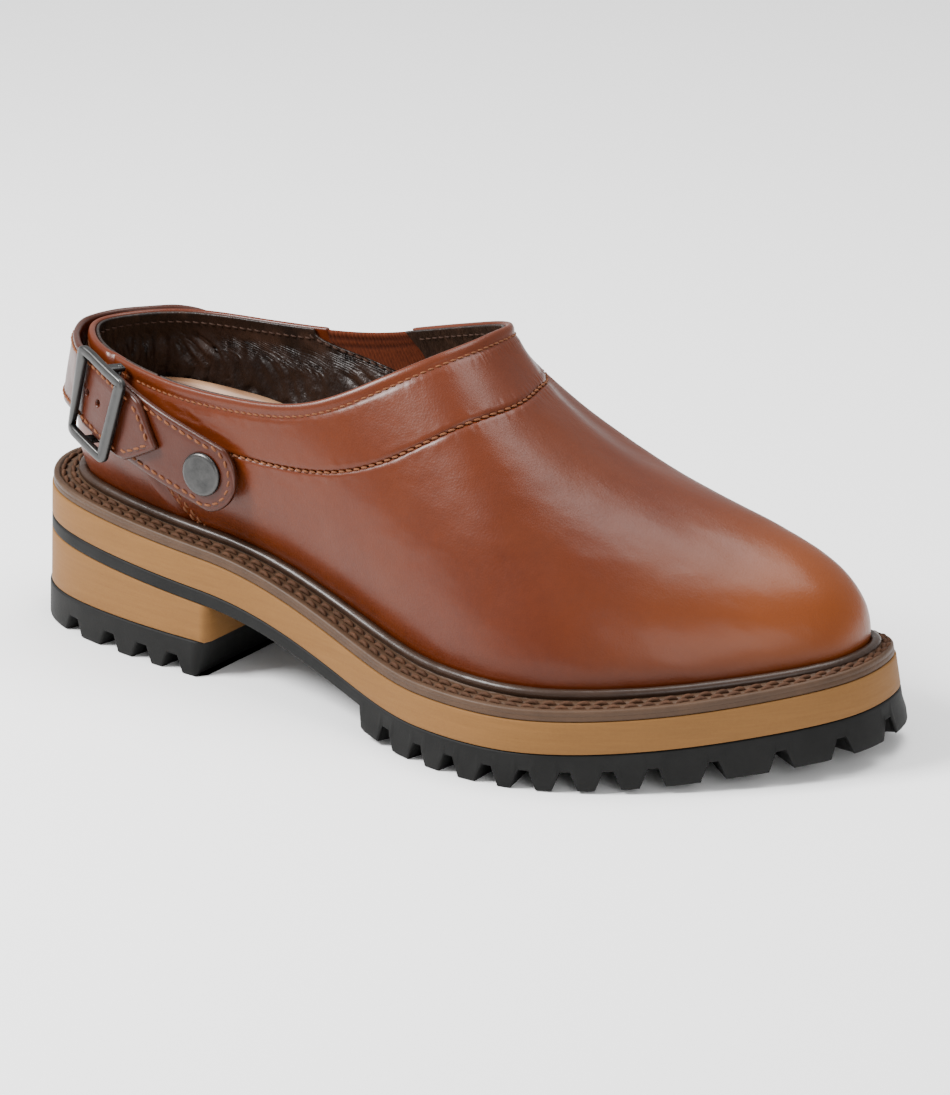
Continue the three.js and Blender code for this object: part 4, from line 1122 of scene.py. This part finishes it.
upper_stitches().make("upper_stitching", FINE_THREAD, "shoe", "upper_leather", merge=False)
lining_stitches().make("lining_stitching", DARK_THREAD, "shoe", "lining_leather", merge=False)

# ------------------------------------------------------------------ footbed
COVER_GAP = 0.6
LINING_BACK = 4.75


def rim_rise(x):
    return lerp(21, 9.5, smooth((x - 55) / 110))


def floor_rise(x):
    return lerp(10, 6.5, smooth((x - 60) / 110))


def floor_grid(extra, count=150, across=44):
    """Points over the footbed, at an extra height above it, dished between its raised rims."""
    t = np.linspace(0, TURN, 720, endpoint=False)
    x = inside(t, 14.0 + 0 * t)[..., 0]
    s = at_height(t, sole_line(x) + COVER_BASE + rim_rise(x) + extra)
    loop = upper(t, s) - upper_normal(t, s) * LINING_BACK
    split = int(np.argmax(loop[:, 0]))
    outer, inner = loop[: split + 1], loop[split:][::-1]
    k = np.linspace(0, 1, count)
    ease = np.clip((1 - np.cos(k * math.pi)) / 2, 0.0005, 0.9995)
    x = lerp(loop[:, 0].min(), loop[:, 0].max(), ease)

    def side(part, other):
        both = np.concatenate([part, other[:1]])
        order = np.argsort(both[:, 0])
        return [np.interp(x, both[order, 0], both[order, c])[:, None] for c in (1, 2)]

    (y0, z0), (y1, z1) = side(outer, inner), side(inner, outer)
    j = np.linspace(0, 1, across)[None, :]
    sag = np.maximum(0, 1 - np.abs(2 * j - 1) ** 2.6)
    middle = sole_line(x) + COVER_BASE + floor_rise(x) + extra
    z = lerp(lerp(z0, z1, j), middle[:, None] + 0 * j, sag)
    return np.stack([x[:, None] + 0 * j, lerp(y0, y1, j), z], axis=-1)


def border(grid):
    """The points round a grid's edge."""
    return np.concatenate([grid[:, 0], grid[-1, 1:], grid[::-1, -1][1:], grid[0, ::-1][1:-1]])


def footbed():
    top, low = floor_grid(COVER_GAP + COVER), floor_grid(COVER_GAP)
    top[..., 2] += 0.12 * layered(top[..., 0] / 16, top[..., 1] / 12, 111)
    made = Shape()
    made.grid(top)
    made.grid(low, flip=True)
    made.grid(np.stack([border(top), border(low)], axis=1), wrap_u=True)
    return made


footbed().make("padded_footbed", COVER_SKIN, "shoe", "footbed_cover", ["footbed_cover"])


# ------------------------------------------------------------------ strap
def strap_height(x):
    d = np.minimum(RIVET_X - x, STRAIGHT + LEVELLING)
    return RIVET_Z + STRAP_RISE * (d - np.maximum(0, d - STRAIGHT) ** 2 / (2 * LEVELLING))


def centripetal(points, per_span=200):
    """Centripetal Catmull-Rom curve through the points."""
    first, last = 2 * points[0] - points[1], 2 * points[-1] - points[-2]
    full = np.concatenate([[first], points, [last]])
    out = []
    for i in range(len(points) - 1):
        p0, p1, p2, p3 = full[i: i + 4]
        d0, d1, d2 = (max(np.linalg.norm(b - a), 1e-6) ** 0.5 for a, b in ((p0, p1), (p1, p2), (p2, p3)))
        m1 = ((p1 - p0) / d0 - (p2 - p0) / (d0 + d1) + (p2 - p1) / d1) * d1
        m2 = ((p2 - p1) / d1 - (p3 - p1) / (d1 + d2) + (p3 - p2) / d2) * d1
        u = np.linspace(0, 1, per_span, endpoint=False)[:, None]
        out.append(p1 + m1 * u + (3 * (p2 - p1) - 2 * m1 - m2) * u ** 2 + (2 * (p1 - p2) + m1 + m2) * u ** 3)
    return np.concatenate(out + [points[-1:]])


CURVE = centripetal(lifted(STRAP_PLAN, strap_height(STRAP_PLAN[:, 0])))
CURVE_WALK = arc_length(CURVE)
CURVE_TANGENT = unit(np.gradient(CURVE, CURVE_WALK, axis=0))


def along_strap(length):
    """The strap's middle, and its across, outward and forward directions, at a length along it."""
    length = np.asarray(length, float)
    point = np.stack([np.interp(length, CURVE_WALK, CURVE[:, k]) for k in range(3)], axis=-1)
    along = unit(np.stack([np.interp(length, CURVE_WALK, CURVE_TANGENT[:, k]) for k in range(3)], axis=-1))
    slope = (strap_height(point[..., 0] + 0.1) - strap_height(point[..., 0] - 0.1)) / 0.2
    upright = unit(np.stack([-slope, 0 * slope, 1 + 0 * slope], axis=-1))
    lean = STRAP_LEAN * smooth((LEAN_START - point[..., :1]) / LEAN_GROWTH)
    across = unit(upright - unit(np.cross(upright, along)) * lean)
    return point, across, unit(np.cross(across, along)), along


def length_at_x(x, inner=False):
    half = len(CURVE) // 2
    if inner:
        return float(np.interp(x, CURVE[half:, 0], CURVE_WALK[half:]))
    return float(np.interp(-x, -CURVE[:half, 0], CURVE_WALK[:half]))


OUTER_RIVET, INNER_RIVET = length_at_x(RIVET_X), length_at_x(RIVET_X, True)
BUCKLE_AT = length_at_x(BUCKLE_X)
HALF = STRAP_WIDTH / 2


def strap_point(length, side, offset):
    point, across, out, _ = along_strap(length)
    return point + across * np.asarray(side)[..., None] + out * np.asarray(offset)[..., None]


def round_end(distance, radius):
    """Half the strap's width at a distance from an end that is round about its rivet."""
    tip = np.sqrt(np.maximum(0.0, radius ** 2 - (radius - np.minimum(distance, radius)) ** 2))
    return np.where(distance < radius, tip, lerp(radius, HALF, smooth((distance - radius) / 20)))


def band(lengths, half_width, low, high, steps, relief, radius):
    """A strip along the strap with rounded edges. half_width is a function of length."""
    half = half_width(lengths)[:, None]
    k = np.concatenate([[0, 0.02, 0.06, 0.1], np.linspace(0.15, 0.85, steps), [0.9, 0.94, 0.98, 1]])[None, :]
    side = (2 * k - 1) * half
    from_side = half - np.abs(side)
    from_end = np.minimum(lengths - lengths[0], lengths[-1] - lengths)[:, None]
    share = roundness(from_side, radius) * roundness(from_end + 0 * k, radius)
    middle, thick = (low + high) / 2, (high - low) / 2
    spots = lengths[:, None] + 0 * k
    rim = np.clip(1.15 - from_side / 1.6, 0, 1)
    made = Shape()
    outside = middle + thick * share + relief(spots, side, from_side) * share
    made.grid(strap_point(spots, side, outside), tone=rim)
    made.grid(strap_point(spots, side, middle - thick * share), tone=rim + 0.2, flip=True)
    return made


def edge_valley(lengths, side, from_side):
    """The dip beside the edge's stitches, and gentle waves."""
    wave = 0.08 * layered(lengths / 9, side / 7, 121)
    return 0.12 * smooth((from_side - 2.6) / 2) - 0.16 * bump_at(from_side, 2.3, 0.9) + wave


def rod(made, centre, axis, side, radius, half, tone=0.0):
    """A rod with slightly rounded ends."""
    third = np.cross(axis, side)
    bevel = 0.2
    ends = [
        (-half, 0.0), (-half, radius - bevel), (-half + bevel, radius),
        (half - bevel, radius), (half, radius - bevel), (half, 0.0),
    ]
    ring = np.array([
        [centre + axis * z + (side * math.cos(a) + third * math.sin(a)) * r for a in full_turn(20)]
        for z, r in ends
    ])
    made.grid(ring, wrap_v=True, tone=tone)


ROUND_STEPS = 12 * (1 - np.cos(np.linspace(0, math.pi / 2, 26)))  # lengths from a round end, close at its tip
TAB_FROM = OUTER_RIVET - END_REACH - 2
TAB_LOW, TAB_HIGH = -3.2, -1.25
BAR_DEPTH = -3.3
TIP = BUCKLE_AT - BILLET_REACH
STRAP_TO = INNER_RIVET + END_REACH + 2
BAR_FRAME = [values[0] for values in along_strap(np.array([BUCKLE_AT]))]


def bar_rod(made, radius, half, tone=0.0):
    """A rod on the axis of the buckle's bar."""
    centre, across, out, along = BAR_FRAME
    rod(made, centre + out * BAR_DEPTH, across, along, radius, half, tone)


def tab_half(length):
    return np.maximum(0.05, np.minimum(round_end(length - TAB_FROM, TAB_END), HALF))


def strap_tab():
    lengths = np.concatenate([TAB_FROM + ROUND_STEPS, np.linspace(TAB_FROM + 13, BUCKLE_AT - 0.5, 44)])
    made = band(lengths, tab_half, TAB_LOW, TAB_HIGH, 26, edge_valley, 0.8)
    bar_rod(made, 1.9, HALF - 1.2, tone=0.7)
    return made


def strap_half(length):
    pointed = 0.4 + (length - TIP) * 0.95
    soft = np.minimum(pointed, HALF) - 0.5 * bump_at(length, TIP + 11.2, 4)
    return np.maximum(0.05, np.minimum(soft, round_end(STRAP_TO - length, TAB_END)))


def strap_relief(lengths, side, from_side):
    relief = edge_valley(lengths, side, from_side)
    for reach in HOLE_REACHES:
        away = np.hypot(lengths - BUCKLE_AT - reach, side)
        relief = relief - 1.5 * (1 - smooth((away - 0.75) / 0.5))
    return relief


def heel_strap():
    at_holes = [np.arange(BUCKLE_AT + r - 1.6, BUCKLE_AT + r + 1.7, 0.2) for r in HOLE_REACHES[:3]]
    lengths = np.unique(np.round(np.concatenate([
        TIP + np.array([0, 0.15, 0.4, 0.8]), np.linspace(TIP + 1.2, STRAP_TO - 13, 190), *at_holes,
        STRAP_TO - ROUND_STEPS,
    ]), 3))
    return band(lengths, strap_half, -STRAP / 2, STRAP / 2, 70, strap_relief, 0.9)


def strap_stitches():
    made = Shape()

    def row(lengths, side, offset):
        out = along_strap(lengths)[2]
        stitch_row(made, strap_point(lengths, side, offset + 0 * side), out, 2.9, 0.4)

    def both_sides(start, end, count, half_width, inset, offset):
        lengths = np.linspace(start, end, count)
        for sign in (-1, 1):
            row(lengths, sign * np.maximum(half_width(lengths) - inset, 0), offset)

    def end(centre, offset, direction):
        """Stitches round an end, about its rivet."""
        angle = np.linspace(-math.pi / 2, math.pi / 2, 60)
        radius = TAB_END - STITCH_INSET
        row(centre + direction * radius * np.cos(angle), radius * np.sin(angle), offset)

    tab_top, strap_top = TAB_HIGH - 0.02, STRAP / 2 - 0.02
    both_sides(TAB_FROM + TAB_END, BUCKLE_AT - 4, 200, tab_half, STITCH_INSET, tab_top)
    end(TAB_FROM + TAB_END, tab_top, -1)
    both_sides(TIP + 15.0, STRAP_TO - TAB_END, 700, strap_half, STITCH_INSET, strap_top)
    end(STRAP_TO - TAB_END, strap_top, 1)
    both_sides(TIP + 3.4, TIP + 13.0, 60, strap_half, STITCH_INSET + 0.8, strap_top)
    return made


strap_tab().make("strap_tab_leather", STRAP_LEATHER, "strap", "upper_leather", ["strap_tab"])
heel_strap().make("heel_strap_leather", STRAP_LEATHER, "strap", "upper_leather", ["heel_strap"])
strap_stitches().make("strap_stitching", FINE_THREAD, "strap", "upper_leather", merge=False)


# ------------------------------------------------------------------ buckle
def buckle_frame():
    """A rectangular frame of soft-edged bars that follows the strap's curve, with a painted highlight along
    the bars' diagonal edges.
    """
    length, half, corner = BUCKLE_LENGTH / 2 - 1.5, BUCKLE_HALF - 1.5, 1.3
    cu, cv = length - corner, half - corner
    centres = [(cu, cv), (-cu, cv), (-cu, -cv), (cu, -cv)]

    def on_corner(k, degrees):
        a = math.radians(degrees)
        return np.array(centres[k % 4]) + corner * np.array([math.cos(a), math.sin(a)])

    path = []
    for k in range(4):
        path += [on_corner(k, a) for a in np.linspace(90 * k, 90 * k + 90, 9)]
        start, end = path[-1], on_corner(k + 1, 90 * k + 90)
        path += [lerp(start, end, share) for share in np.linspace(0, 1, 14)[1:-1]]
    path = np.array(path)
    tangent = unit(np.roll(path, -1, axis=0) - np.roll(path, 1, axis=0))
    normal = np.stack([tangent[:, 1], -tangent[:, 0]], axis=-1)
    front = smooth((-path[:, 0] - length + 1.2) / 1.2) * smooth((half - np.abs(path[:, 1]) + 0.5) / 1.5)
    cos, sin = (np.sign(v) * np.abs(v) ** 0.55 for v in (np.cos(full_turn(20)), np.sin(full_turn(20))))
    out_by = cos[None, :] * (1.5 + 0.45 * front)[:, None] - 0.45 * front[:, None]
    plane = path[:, None, :] + normal[:, None, :] * out_by[..., None]
    rise = 3.0 + sin[None, :] * 1.2 + 0 * plane[..., 0]
    # Painted highlight: the tone lightens the pewter along the four diagonal edges of each bar.
    painted_highlight = np.clip(np.abs(cos * sin)[None, :] * 0.9, 0, 1) + 0 * plane[..., 0]
    made = Shape()
    points = strap_point(BUCKLE_AT + plane[..., 0], plane[..., 1], rise)
    made.grid(points, wrap_u=True, wrap_v=True, tone=painted_highlight)
    return made


LUG_LAYER, LUG_HALF = (-4.4, 2.4), 1.5


def buckle_lugs():
    """The two ears that hold the bar behind the frame."""
    made = Shape()
    u, level = np.linspace(-LUG_HALF, LUG_HALF, 8), np.linspace(*LUG_LAYER, 8)
    low, high = np.full(8, level[0]), np.full(8, level[-1])
    ring = np.concatenate([
        np.stack([u, high], axis=-1), np.stack([0 * level + u[-1], level[::-1]], axis=-1)[1:],
        np.stack([u[::-1], low], axis=-1)[1:], np.stack([0 * level + u[0], level], axis=-1)[1:-1],
    ])
    middle = np.array([0.0, sum(LUG_LAYER) / 2])
    for sign in (-1, 1):
        layers = []
        for v, shrink in ((11.7, 0.0), (11.7, 0.92), (11.85, 1.0), (12.95, 1.0), (13.1, 0.9), (13.1, 0.0)):
            q = middle + (ring - middle) * shrink
            layers.append(strap_point(BUCKLE_AT + q[:, 0], np.full(len(q), sign * v), q[:, 1]))
        made.grid(np.array(layers), wrap_v=True)
    return made


bar = Shape()
bar_rod(bar, 0.9, BUCKLE_HALF - 1.3)
buckle_frame().make("rounded_buckle_frame", PEWTER, "buckle", "antique_pewter", ["buckle_frame"])
buckle_lugs().make("buckle_lugs", PEWTER, "buckle", "antique_pewter")
bar.make("buckle_bar_rod", PEWTER, "buckle", "antique_pewter", ["buckle_bar"])

# ------------------------------------------------------------------ rivets
# Radius, height over the strap's face and tone, from the middle of the cap's top to the end of its post. The
# tone paints a highlight on the bevelled rim.
CAP_PROFILE = np.array([
    [0.02, 1.55, 0], [2.0, 1.52, 0], [3.8, 1.42, 0.05], [4.9, 1.28, 0.15], [5.35, 1.22, 0.1],
    [5.75, 1.24, 0.3], [6.2, 1.12, 0.7], [6.55, 0.85, 0.6], [6.75, 0.45, 0.3], [6.78, 0.1, 0],
    [6.6, -0.25, 0], [6.2, -0.38, 0], [2.3, -0.4, 0], [2.3, -7.5, 0], [0.02, -7.5, 0],
])


def rivet_cap(sign, face):
    """A flat-topped cap with a rolled rim, on its post, with a highlight painted round the rim."""
    radius, height, painted_highlight = (CAP_PROFILE[:, k, None] for k in range(3))
    angle = full_turn(72)[None, :]
    ring = np.stack([
        RIVET_X + radius * np.cos(angle), face + sign * height + 0 * angle, RIVET_Z + radius * np.sin(angle),
    ], axis=-1)
    made = Shape()
    # The tone paints the rim's highlight into the pewter's colour.
    made.grid(ring, wrap_v=True, tone=painted_highlight + 0 * angle)
    return made


def strap_y(length):
    return float(along_strap(np.array([length]))[0][0, 1])


outer_face, inner_face = strap_y(OUTER_RIVET) + 0.9, strap_y(INNER_RIVET) + STRAP / 2 + 0.7
rivet_cap(-1, outer_face).make("outer_rivet_cap", PEWTER, "shoe", "antique_pewter", ["rivet_outer"])
rivet_cap(1, inner_face).make("inner_rivet_cap", PEWTER, "shoe", "antique_pewter", ["rivet_inner"])

# ------------------------------------------------------------------ CAD nodes that stay
KEPT = {
    "shank": STEEL, "bottom_filler": CORK, "insole_board": FIBRE, "footbed": CORK,
    "heel_counter": STIFFENER, "toe_puff": STIFFENER, "rivet_burr_outer": STEEL, "rivet_burr_inner": STEEL,
    **{f"heel_nail_{k}": STEEL for k in range(1, 5)},
}
for name, material in KEPT.items():
    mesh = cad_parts[name].data
    mesh.materials.clear()
    mesh.materials.append(material)
